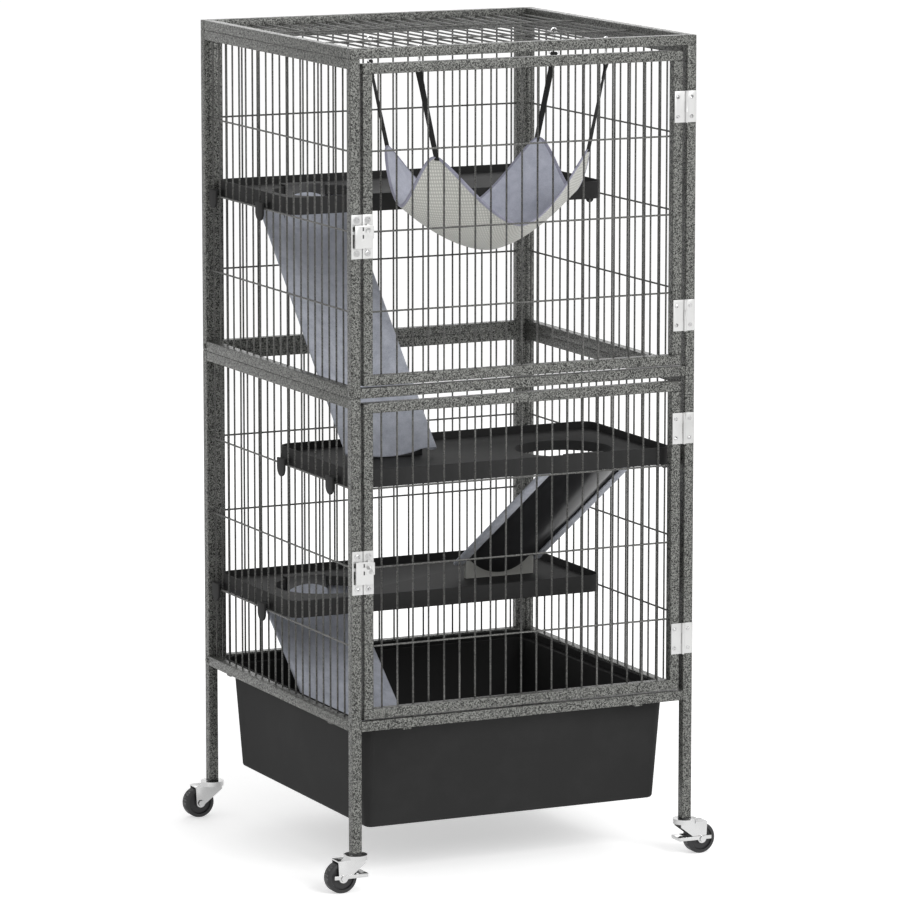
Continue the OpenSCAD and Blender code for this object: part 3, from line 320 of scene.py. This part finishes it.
binding = material("hammock binding", nap, 1.0, colour(0.20, 0.20, 0.26), colour(0.30, 0.30, 0.37),
                   roughness=0.95, bump=0.4, depth=0.0006, Sheen_Weight=0.2, Sheen_Roughness=0.5)
thread = material("seam thread", nap, 0.5, colour(0.30, 0.30, 0.38), colour(0.40, 0.40, 0.48),
                  roughness=0.7, bump=0.3, depth=0.0002)
webbing = material("webbing", weave, 0.003, grey(0.009), grey(0.003), roughness=0.9, bump=0.6,
                   depth=0.0004)
finish_of = {"frame_paint": tube_paint, "wire_paint": wire_paint, "zinc": zinc, "steel": steel,
             "nylon": nylon, "shelf_plastic": shelf_plastic, "pan_plastic": pan_plastic,
             "ramp_plastic": ramp_plastic, "chrome": chrome, "wheel_rubber": tread}
print(len(finish_of), "finishes")

# %% [markdown]
# ## The rigid pieces
# Square tube has rounded corners of about a millimetre, moulded plastic has soft rims, and stamped
# plates have a broken edge. CAD keeps all of them sharp. A copy of each node is merged, because its
# triangles are loose, and the outer edges that are long enough get a bevel of their own width.


# %% Round the outer edges of a copy of a node
MERGE, FLAT = 0.00001, math.radians(0.6)


def rounded_copy(name, width, shortest, degrees):
    """A merged copy with a bevel on the outer edges that are long and sharp enough for it."""
    obj = bpy.data.objects.new(name + "_finished", frame["nodes"][name].data.copy())
    bpy.context.collection.objects.link(obj)

    def work(obj):
        bpy.ops.mesh.select_all(action="SELECT")
        bpy.ops.mesh.remove_doubles(threshold=MERGE)
        bpy.ops.mesh.dissolve_limited(angle_limit=FLAT)
        if width:
            pick(obj, lambda e: len(e.link_faces) == 2 and e.is_convex and e.calc_length() > shortest
                 and e.calc_face_angle() > math.radians(degrees), "edges")
            bpy.ops.mesh.bevel(offset=width, segments=3, affect="EDGES", clamp_overlap=True)
    edit(obj, work)
    smooth(obj)
    return place(obj, name, finish_of[slot_with(name)])


# The bevel's width and the shortest edge it takes, in millimetres, and the least angle in degrees
BEVELS = {"_frame": (1.4, 20, 60), "front_rails": (1.4, 20, 60), "_grille": (0, 0, 0),
          "leaves": (0.25, 1.2, 50), "latch": (0.25, 1.2, 50), "_fork": (0.45, 2, 40),
          "_brake": (0.45, 2, 40), "pan_lugs": (0.8, 5, 50), "_shelf": (0.9, 1.5, 50),
          "base_pan": (1.0, 1.5, 40), "_ramp": (0.5, 2, 50)}
rigid = [name for name in frame["nodes"] if not name.startswith("hammock") and name != "ramp_covers"]
for name in rigid:
    width, shortest, degrees = next((b for part, b in BEVELS.items() if part in name), (0, 0, 0))
    rounded_copy(name, width * MM, shortest * MM, degrees)
print(len(rigid), "rigid pieces finished")

# %% The ramps' tongues are matt like the shelves, and the middle ramp's foot plate is painted light grey as painted light, where it faces the lamps
RAMPS = {"lower": dict(x=-148, side=1, foot=(-78, 98.8), top=(234, 350.3), lip=225.5, drop=36,
                       start=-11.0, lean=3.0),
         "middle": dict(x=148, side=-1, foot=(-100, 409.3), top=(215, 604.3), lip=206.5, drop=32,
                        start=-1.0, lean=0.0),
         "upper": dict(x=-148, side=1, foot=(-90, 659.3), top=(234, 997.3), lip=225.5, drop=42,
                       start=-11.0, lean=3.0)}
# How far under the shelf the tongue begins, and the box round the foot plate, in millimetres
TONGUE_FROM = -2
PLATE_FROM, PLATE_TO, PLATE_HIGH, PLATE_HALF = -8.3, 0.2, 31, 62.3
for which, plan in RAMPS.items():
    made = bpy.data.objects[which + "_ramp_finished"].data
    made.materials.append(lit_foot_plate)
    made.materials.append(shelf_plastic)
    for face in made.polygons:
        if face.center.z / MM > plan["top"][1] + plan["drop"] + TONGUE_FROM:
            face.material_index = 2
plan = RAMPS["middle"]
middle_ramp = bpy.data.objects["middle_ramp_finished"]
# The faces inside the box round the middle foot plate take the light grey of painted light
for face in middle_ramp.data.polygons:
    along = plan["side"] * face.center.y / MM - plan["foot"][0]
    above = face.center.z / MM - plan["foot"][1]
    aside = abs(face.center.x / MM - plan["x"])
    if PLATE_FROM < along < PLATE_TO and above < PLATE_HIGH and aside < PLATE_HALF:
        face.material_index = 1
print("foot plate faces", sum(f.material_index == 1 for f in middle_ramp.data.polygons))

# %% The forks are plated outside, and their inner and lower faces get a darker steel as painted shade
CASTER_Y, INWARD, DOWNWARD = 0.29, -0.004, -0.5
for name in frame["nodes"]:
    if name.endswith("_fork"):
        fork = bpy.data.objects[name + "_finished"]
        # The faces that point in towards the wheel or down take the darker steel as painted shade
        fork.data.materials.append(fork_shade_steel)
        middle = CASTER_Y if name.startswith("back") else -CASTER_Y
        for face in fork.data.polygons:
            if face.normal.y * (face.center.y - middle) < INWARD or face.normal.z < DOWNWARD:
                face.material_index = 1
        print(name, "inner faces", sum(f.material_index for f in fork.data.polygons))

# %% [markdown]
# ## Fleece on the ramps
# Each ramp is a trough of plastic with a fleece sleeve: the cloth lies in the hollow, turns over both
# long edges and ends under them. A grid is the natural start, because every line across it becomes the
# same section. The section is a path of arcs, and the grid's own UV map is kept in metres, as the cloth
# is cut flat. The shelf's edge passes through a slit near the top, where a small flap of the same
# fleece turns up in front of the ramp's tongue.

# %% The section of a cover, in millimetres
WIDE, TROUGH, DIP, WALL, PILE, AIR, TURN = 154, 108, 20, 2.5, 2.5, 0.3, 14
R = ((TROUGH / 2) ** 2 + DIP ** 2) / (2 * DIP)
HOLLOW_CELLS, HOLLOW_SHARE, BEND_CELLS = 11, 0.93, 6


def sleeve_section():
    """Points (across, above) of the cloth's middle, from under one flange to under the other."""
    inside, bend = R - WALL - AIR - PILE / 2, WALL / 2 + AIR + PILE / 2
    top, end = DIP + WALL + AIR + PILE / 2, WIDE / 2 + AIR + PILE / 2 - bend
    last = math.acos((R - top) / inside)
    turns = [HOLLOW_SHARE * last * k / HOLLOW_CELLS for k in range(HOLLOW_CELLS + 1)]
    hollow = [(inside * math.sin(a), R - inside * math.cos(a)) for a in turns]
    shoulder = inside * math.sin(last)
    flange = [(shoulder - 0.6, top - 1.1)]
    flange += [(shoulder + (end - shoulder) * f, top) for f in (0.15, 0.35, 0.6, 0.85)]
    turns = [math.pi * k / BEND_CELLS for k in range(BEND_CELLS + 1)]
    edge = [(end + bend * math.sin(a), top - bend + bend * math.cos(a)) for a in turns]
    under = [(end + (WIDE / 2 - TURN - end) * f, top - 2 * bend) for f in (0.34, 0.67, 1.0)]
    half = hollow + flange + edge + under
    return [(-x, y) for x, y in reversed(half[1:])] + half


# %% A grid of cloth, and its thickness
def grid_of(name, nx, ny, width, length):
    """A grid with one face per cell, in rows from -1 to 1, and its UV map in metres."""
    bpy.ops.mesh.primitive_grid_add(x_subdivisions=nx, y_subdivisions=ny, size=2)
    obj = bpy.context.object
    obj.name = obj.data.name = name
    for loop in obj.data.uv_layers.active.data:
        loop.uv = (loop.uv[0] * width * MM, loop.uv[1] * length * MM)
    return obj


def thicken(obj, thickness, hem, inner, cut=None, **settings):
    """Gives a sheet its thickness, more at the hem, where the weights are 1, and cuts a slit first."""
    group = obj.vertex_groups.new(name="hem")
    for v in obj.data.vertices:
        group.add([v.index], 1.0 if hem(v) else inner, "REPLACE")
    if cut:
        def remove(obj):
            pick(obj, cut)
            bpy.ops.mesh.delete(type="FACE")
        edit(obj, remove)
    apply_modifier(obj, "SOLIDIFY", thickness=thickness, offset=0, use_even_offset=True,
                   vertex_group="hem", **settings)
    return apply_modifier(obj, "SUBSURF", levels=1, render_levels=1)


# %% The flap in front of a ramp's tongue
TONGUE, TONGUE_T, SHELF_FLOOR, LOW = 70, 3, 16, 9
FLAP_LONG, FLAP_SIDE, FLAP_THICK, FLAP_CELLS = 40, 2.2, 2.6, (24, 14)
FLAP_BEND, BEND_SHARE, HUMP, UNDER_CREST, LEAST = 6.0, 0.45, 1.2, 0.8, 0.5


def cloth_height(plan, rise, y, n):
    """How high the cloth in a trough lies at y, where its section is n above the trough's bottom."""
    fy, fz = plan["foot"]
    return fz + (y - fy) * math.tan(rise) + n / math.cos(rise)


def tongue_flap(which, rise):
    """The patch of fleece that turns up in front of the tongue, with a rounded top."""
    plan = RAMPS[which]
    face = plan["lip"] - TONGUE_T - AIR - PILE / 2
    crest = plan["top"][1] + plan["drop"] + SHELF_FLOOR - LOW
    obj = grid_of(which + "_flap", *FLAP_CELLS, TONGUE, FLAP_LONG)
    for v in obj.data.vertices:
        x, j = v.co.x * (TONGUE / 2 + FLAP_SIDE), (v.co.y + 1) / 2
        crown = crest - (TONGUE - math.sqrt(TONGUE ** 2 - x * x)) - UNDER_CREST
        n = R - math.sqrt((R - WALL - AIR - PILE / 2) ** 2 - x * x)
        low = cloth_height(plan, rise, face - FLAP_BEND, n)
        bent = cloth_height(plan, rise, face, n) + FLAP_BEND * HUMP
        turn = min(1.0, j / BEND_SHARE) * math.pi / 2
        y = face - FLAP_BEND * (1 - math.sin(turn))
        z = low + (bent - low) * (1 - math.cos(turn))
        if j > BEND_SHARE:
            z = bent + (max(crown, bent + LEAST) - bent) * (j - BEND_SHARE) / (1 - BEND_SHARE)
        v.co = Vector((plan["x"] + plan["side"] * x, plan["side"] * y, z)) * MM
    thicken(obj, FLAP_THICK * MM, lambda v: True, 1.0)
    smooth(obj, 180)
    return place(obj, "ramp_covers", fleece)


# %% Lay a sleeve on each ramp
SLEEVE_ROWS, SLEEVE_THICK, INNER_SHARE, HEM_ROWS = 80, 3.0, 0.84, 3
UNDER_SHELF, RIPPLE, RIPPLED = 2.6, 0.35, 48
SLIT_SIDE, SLIT_FROM, SLIT_TO = 3, -5.6, 2.6


def fleece_sleeve(which):
    plan = RAMPS[which]
    (fy, fz), (ty, tz) = plan["foot"], plan["top"]
    rise = math.atan2(tz - fz, ty - fy)
    section = sleeve_section()
    reach = [0.0]
    for a, b in zip(section, section[1:]):
        reach.append(reach[-1] + math.dist(a, b))
    width, across = reach[-1], len(section) - 1
    end_z = tz + plan["drop"] - UNDER_SHELF
    length = (end_z - fz) / math.sin(rise)
    obj = grid_of(which + "_fleece", across, SLEEVE_ROWS, width, length)
    for v in obj.data.vertices:
        i, j = round((v.co.x + 1) / 2 * across), (v.co.y + 1) / 2
        x, n = section[i]
        start = plan["start"] - plan["lean"] * min(1.0, n / DIP)
        s = start + ((end_z - fz - n * math.cos(rise)) / math.sin(rise) - start) * j
        if abs(x) < RIPPLED and n < DIP:
            n += RIPPLE * math.sin(s / 31 + x / 17) * math.sin(s / 13 - x / 23)
        y = fy + s * math.cos(rise) - n * math.sin(rise)
        z = fz + s * math.sin(rise) + n * math.cos(rise)
        v.co = Vector((plan["x"] + plan["side"] * x, plan["side"] * y, z)) * MM
    for loop, uv in zip(obj.data.loops, obj.data.uv_layers.active.data):
        uv.uv[0] = reach[loop.vertex_index % (across + 1)] * MM

    def slit(f):
        at = f.calc_center_median() / MM
        past = plan["side"] * at.y - plan["lip"]
        return abs(at.x - plan["x"]) < TONGUE / 2 + SLIT_SIDE and SLIT_FROM < past < SLIT_TO
    rows = len(obj.data.vertices) // (across + 1)
    hems = {v.index for v in obj.data.vertices if not HEM_ROWS <= v.index // (across + 1) < rows - HEM_ROWS}
    thicken(obj, SLEEVE_THICK * MM, lambda v: v.index in hems, INNER_SHARE, cut=slit)
    smooth(obj, 180)
    place(obj, "ramp_covers", fleece)
    flap = tongue_flap(which, rise)
    return obj


for which in RAMPS:
    fleece_sleeve(which)

# %% [markdown]
# ## The hammock
# The hammock is one piece of cloth, mesh outside and fleece inside, held by four straps at its
# corners. Its edges are cut inwards and hang low between the corners. The form is a grid over a square
# that sags along both directions, with the same numbers as the CAD solid. The edge is bound with a
# folded strip, so the outer row of faces is thicker and has the binding's colour on both sides.

# %% The hammock's form
MID_X, MID_Y, CORNER_X, CORNER_Y, CORNER_Z = 14, 128.5, 147.5, 100, 1191.3
SAG = dict(front=154, left=130, right=122, middle=209)
BLUNT, BULGE_X, BULGE_FRONT, BULGE_BACK, CREST = 0.097, 0.047, 0.31, 0.05, 1.66


def hammock_point(a, b):
    k = 1 - BLUNT * abs(a * b) ** 4
    a, b = a * k, b * k
    p, q = 1 - abs(a) ** CREST, 1 - abs(b) ** CREST
    side = SAG["left"] if a < 0 else SAG["right"]
    return Vector((MID_X + CORNER_X * a * (1 + BULGE_X * q),
                   -MID_Y + CORNER_Y * b * (1 + (BULGE_FRONT if b < 0 else BULGE_BACK) * p * b * b),
                   CORNER_Z - SAG["front"] * p * (1 - q) - side * q * (1 - p) - SAG["middle"] * p * q))


def hammock_normal(a, b):
    e = 0.02
    return (hammock_point(a + e, b) - hammock_point(a - e, b)).cross(
        hammock_point(a, b + e) - hammock_point(a, b - e)).normalized()


# %% Shape the cloth, with soft gathers that run in from the corners
CELLS, CUT, BOUND, ROUNDED = (60, 48), (360, 270), 4.5, 15
GATHER, FADE, FOLDS, CLOTH_THICK, INNER_CLOTH = 0.9, 2.2, 9, 3.2, 0.75
hammock = grid_of("hammock_cloth", *CELLS, *CUT)


def widened(t, cells, length):
    """Moves a grid line so that the outer cell is as wide as the binding."""
    last, bound = 1 - 2 / cells, 1 - 2 * BOUND / length
    if abs(t) <= last + 1e-6:
        return t * bound / last
    return math.copysign(bound + (abs(t) - last) / (1 - last) * (1 - bound), t)


def round_corner(a, b):
    """Pulls the points near a corner of the cut into an arc."""
    x, y = abs(a) * CUT[0] / 2, abs(b) * CUT[1] / 2
    u, v = x - (CUT[0] / 2 - ROUNDED), y - (CUT[1] / 2 - ROUNDED)
    if u <= 0 or v <= 0:
        return a, b
    pull = max(u, v) / math.hypot(u, v)
    return (math.copysign((CUT[0] / 2 - ROUNDED + u * pull) / (CUT[0] / 2), a),
            math.copysign((CUT[1] / 2 - ROUNDED + v * pull) / (CUT[1] / 2), b))


def cloth_at(a, b, off=0.0):
    """A point of the cloth's middle, with its gathers, or off to one side of it."""
    reach = math.hypot(1 - abs(a), 1 - abs(b))
    fold = math.cos(FOLDS * math.atan2(1 - abs(a), 1 - abs(b) + 0.05))
    gather = GATHER * math.exp(-reach * FADE) * fold
    return hammock_point(a, b) + hammock_normal(a * 0.98, b * 0.98) * (gather + off)


def border(a, b):
    return abs(a) > 1 - 2 / CELLS[0] + 0.01 or abs(b) > 1 - 2 / CELLS[1] + 0.01


for face in hammock.data.polygons:
    face.material_index = 2 if border(face.center.x, face.center.y) else 0
inner = [not border(v.co.x + math.copysign(0.02, v.co.x), v.co.y + math.copysign(0.02, v.co.y))
         for v in hammock.data.vertices]
for v in hammock.data.vertices:
    a, b = round_corner(widened(v.co.x, CELLS[0], CUT[0]), widened(v.co.y, CELLS[1], CUT[1]))
    v.co = cloth_at(a, b) * MM
# The outer side takes the next material in this list, so the binding stands in it twice
for cloth in (lining, mesh_cloth, binding, binding):
    hammock.data.materials.append(cloth)
thicken(hammock, CLOTH_THICK * MM, lambda v: not inner[v.index], INNER_CLOTH, material_offset=1,
        material_offset_rim=0)
smooth(hammock, 180)
place(hammock, "hammock", None)

# %% [markdown]
# The binding is sewn down with one row of stitches that shows on both faces. A stitch is a small
# stretched ball. It is modelled once, and its mesh is added again for every stitch along the four edges.

# %% Sew the binding
INSET, STEP, LONG, THREAD, SEAM_OFF, AHEAD = 3.1, 4.4, 2.9, 0.42, 1.5, 0.004
bpy.ops.mesh.primitive_uv_sphere_add(segments=6, ring_count=5, radius=0.5)
stitch = bpy.context.object
only(stitch)
bpy.ops.transform.resize(value=(LONG * MM, 2 * THREAD * MM, 2 * THREAD * MM))
bpy.ops.object.transform_apply()
corners = len(stitch.data.vertices)
seam = bmesh.new()
ends = [1 - 2 * (ROUNDED + 2) / side for side in CUT]
for long_way, side in ((0, -1), (0, 1), (1, -1), (1, 1)):
    inset = side * (1 - 2 * INSET / CUT[1 - long_way])
    count = int(ends[long_way] * CUT[long_way] / STEP)
    for k in range(count):
        t = ends[long_way] * (2 * (k + 0.5) / count - 1)
        for off in (-SEAM_OFF, SEAM_OFF):
            a, b = (t, inset) if long_way == 0 else (inset, t)
            next_a, next_b = (a + AHEAD, b) if long_way == 0 else (a, b + AHEAD)
            here = cloth_at(a, b, off)
            along = (cloth_at(next_a, next_b, off) - here).normalized()
            up = hammock_normal(a, b)
            up = (up - along * up.dot(along)).normalized()
            turn = Matrix((along, up.cross(along), up)).transposed().to_4x4()
            first = len(seam.verts)
            seam.from_mesh(stitch.data)
            seam.verts.ensure_lookup_table()
            for v in seam.verts[first:]:
                v.co = here * MM + turn @ v.co
seam.to_mesh(stitch.data)
seam.free()
stitch.name = stitch.data.name = "hammock_stitches"
smooth(stitch, 180)
place(stitch, "hammock", thread)
print("stitches", len(stitch.data.vertices) // corners)

# %% [markdown]
# ## Straps and snap hooks
# A black web strap is sewn into each corner, runs up to the lower bar of a snap hook, round it and
# back down, where it is stitched to itself. It is a long thin grid whose rows follow that path. The
# hook is a ring with a swivel barrel and a square eye, made from a torus, a turned barrel and a torus
# pushed out to a square.

# %% Where the hooks hang
RING, ROD, EYE_W, EYE_H, HOOK_L = 5, 1.2, 16.4, 10, 43
EYE_Z = HOOK_L - RING - ROD - EYE_H
BAR_Z = EYE_Z + EYE_H
ROOF_WIRE, WIRE_R, PITCH, SEAT = 1317.3, 1.5, 27.25, 0.1
HOOK_WIRES, HOOKS_Y, HOOKS_APART = (-5, 7), -103, 186
HOOK_Z = ROOF_WIRE + WIRE_R - RING + ROD + SEAT
hooks = {(s, t): Vector((HOOK_WIRES[s] * PITCH, HOOKS_Y + (t - 0.5) * HOOKS_APART, HOOK_Z))
         for s in (0, 1) for t in (0, 1)}
print("hooks hang at", round(HOOK_Z, 1), "mm")


# %% One strap along its path, a little twisted towards its sewn end
STRAP_WIDE, STRAP_THICK, SEWN, TWIST, TWISTED = 10, 1.1, 9.0, math.radians(-20), 6
LOOP, LOOP_STEPS, HANG, APART = 2.9, 8, 3.6, 0.9


def strap(s, t):
    hook = hooks[s, t]
    bar = hook - Vector((0, 0, BAR_Z))
    corner = hammock_point(2 * s - 1, 2 * t - 1)
    low = bar - Vector((0, 0, HANG))
    d = (low - corner).normalized()
    wide = Vector((1, -1 if s == t else 1, 0)).normalized()
    sway = Vector((-wide.y, wide.x, 0)) * (-1 if t else 1)
    path = [corner - d * SEWN, corner + d * 6]
    path += [corner + (low - corner) * f for f in (0.2, 0.4, 0.6, 0.8)]
    path += [low - d * 8 - sway * APART, bar + Vector((0, 0, -2.2)) - sway * 2.6]
    path += [bar + Vector((0, 0, LOOP * math.sin(a))) - sway * LOOP * math.cos(a)
             for a in [math.pi * k / LOOP_STEPS for k in range(LOOP_STEPS + 1)]]
    path += [bar + Vector((0, 0, -3.5)) + sway * 2.2]
    path += [low - d * 8 + sway * APART, low - d * 22 + sway * 0.75]
    n = len(path) - 1
    long = sum((b - a).length for a, b in zip(path, path[1:]))
    obj = grid_of("strap_%d%d" % (s, t), 4, n, STRAP_WIDE, long)
    for v in obj.data.vertices:
        k = round((v.co.y + 1) / 2 * n)
        across = Matrix.Rotation(TWIST * max(0, 1 - k / TWISTED), 3, "Z") @ wide
        v.co = (path[k] + across * (v.co.x * STRAP_WIDE / 2)) * MM
    apply_modifier(obj, "SOLIDIFY", thickness=STRAP_THICK * MM, offset=0)
    apply_modifier(obj, "BEVEL", width=0.3 * MM, segments=2, limit_method="ANGLE", angle_limit=1.0)
    smooth(obj, 60)
    place(obj, "hammock_straps", webbing)
    return obj, long


straps = [strap(s, t) for s in (0, 1) for t in (0, 1)]
print("straps", [round(long) for _, long in straps], "mm long with their loops")


# %% One snap hook
BARREL_R, NECK, NARROW = 2.5, (7, 9), 0.72


def snap_hook(s, t):
    at = hooks[s, t]
    turn_eye = Matrix.Rotation(math.radians(-45 if s == t else 45), 3, "Z")
    bpy.ops.mesh.primitive_torus_add(major_radius=RING * MM, minor_radius=ROD * MM, major_segments=40,
                                     minor_segments=12, location=at * MM, rotation=(math.pi / 2, 0, 0))
    ring = bpy.context.object
    bpy.ops.mesh.primitive_cylinder_add(vertices=28, radius=BARREL_R * MM, depth=(EYE_Z - RING) * MM,
                                        location=(at - Vector((0, 0, (EYE_Z + RING) / 2))) * MM)
    barrel = bpy.context.object

    def below(distance):
        return at - Vector((0, 0, distance))

    def turn(obj):
        pick(obj, lambda f: abs(f.normal.z) > 0.9)
        bpy.ops.mesh.inset(thickness=0.6 * MM)
        for end in NECK:
            bpy.ops.mesh.select_all(action="SELECT")
            bpy.ops.mesh.bisect(plane_co=below(EYE_Z - end) * MM, plane_no=(0, 0, 1))
        pick(obj, lambda f: abs(f.normal.z) < 0.1
             and NECK[0] < f.calc_center_median().z / MM - at.z + EYE_Z < NECK[1])
        bpy.ops.transform.resize(value=(NARROW, NARROW, 1),
                                 center_override=tuple(below(EYE_Z - sum(NECK) / 2) * MM))
    edit(barrel, turn)
    bpy.ops.mesh.primitive_torus_add(major_radius=EYE_W / 2 * MM, minor_radius=ROD * MM,
                                     major_segments=48, minor_segments=12, rotation=(math.pi / 2, 0, 0))
    eye = bpy.context.object
    only(eye)
    bpy.ops.object.transform_apply()
    for v in eye.data.vertices:
        x, z = v.co.x / (EYE_W / 2 * MM), v.co.z / (EYE_W / 2 * MM)
        far = math.hypot(x, z)
        square = far / max(abs(x) ** 5 + abs(z) ** 5, 1e-9) ** 0.2
        core = Vector((x, 0, z)) / far * square
        tube_out = Vector((x, 0, z)) / far * (far - 1) * EYE_W / 2
        bent = Vector((core.x * EYE_W / 2, v.co.y / MM, core.z * EYE_H / 2)) + tube_out
        v.co = (at + turn_eye @ bent - Vector((0, 0, EYE_Z + EYE_H / 2))) * MM
    bpy.ops.object.select_all(action="DESELECT")
    for piece in (ring, barrel, eye):
        piece.select_set(True)
    bpy.context.view_layer.objects.active = ring
    bpy.ops.object.join()
    only(ring)
    bpy.ops.object.transform_apply()
    ring.name = ring.data.name = "snap_hook_%d%d" % (s, t)
    smooth(ring, 50)
    return place(ring, "hammock_hooks", nickel)


snap_hooks = [snap_hook(s, t) for s in (0, 1) for t in (0, 1)]
print(len(snap_hooks), "snap hooks")

# %% [markdown]
# ## Floor, light and sky
# The photograph shows the cage on plain white. The sky is white for the camera and for reflections,
# and greyer as a light, so that the paint keeps its tone. One strong lamp in front of the doors, a faint
# one on the left and one behind give the tubes a light and a dark side.

# %% Floor
bpy.ops.mesh.primitive_plane_add(size=120, location=(0, 0, 0))
floor = bpy.context.object
floor.name = "floor"
floor_paint = bpy.data.materials.new("floor")
floor_paint.use_nodes = True
floor_look = {"Base Color": grey(0.85), "Roughness": 0.9, "Emission Color": grey(1),
              "Emission Strength": 0.5}
for title, value in floor_look.items():
    floor_paint.node_tree.nodes["Principled BSDF"].inputs[title].default_value = value
floor.data.materials.append(floor_paint)

# %% Sky and lamps
sky = bpy.data.worlds.new("sky")
bpy.context.scene.world = sky
sky.use_nodes = True
tree = sky.node_tree
back = tree.nodes["Background"]
back.inputs["Color"].default_value = grey(1)
rays = node(tree, "ShaderNodeLightPath")
seen = maths(tree, "MAXIMUM", rays.outputs["Is Camera Ray"],
             maths(tree, "MAXIMUM", rays.outputs["Is Glossy Ray"], rays.outputs["Is Transmission Ray"]))
AS_LIGHT, AS_SEEN, AIM = 0.6, 1.0, Vector((0, 0, 0.7))
strength = node(tree, "ShaderNodeMapRange", _0=seen, _3=AS_LIGHT, _4=AS_SEEN)
tree.links.new(strength.outputs[0], back.inputs["Strength"])


def lamp(name, where, power, size):
    light = bpy.data.lights.new(name, "AREA")
    light.energy, light.size = power, size
    obj = bpy.data.objects.new(name, light)
    obj.location = where
    obj.rotation_euler = (AIM - Vector(where)).to_track_quat("-Z", "Y").to_euler()
    bpy.context.collection.objects.link(obj)
    return obj


lamp("key", (0.9, -4.4, 3.2), 130, 2.4)
lamp("fill", (-3.6, -2.2, 2.4), 7, 2.5)
lamp("rim", (1.5, 3.4, 2.6), 20, 2.0)
print(len(bpy.data.lights), "lamps")
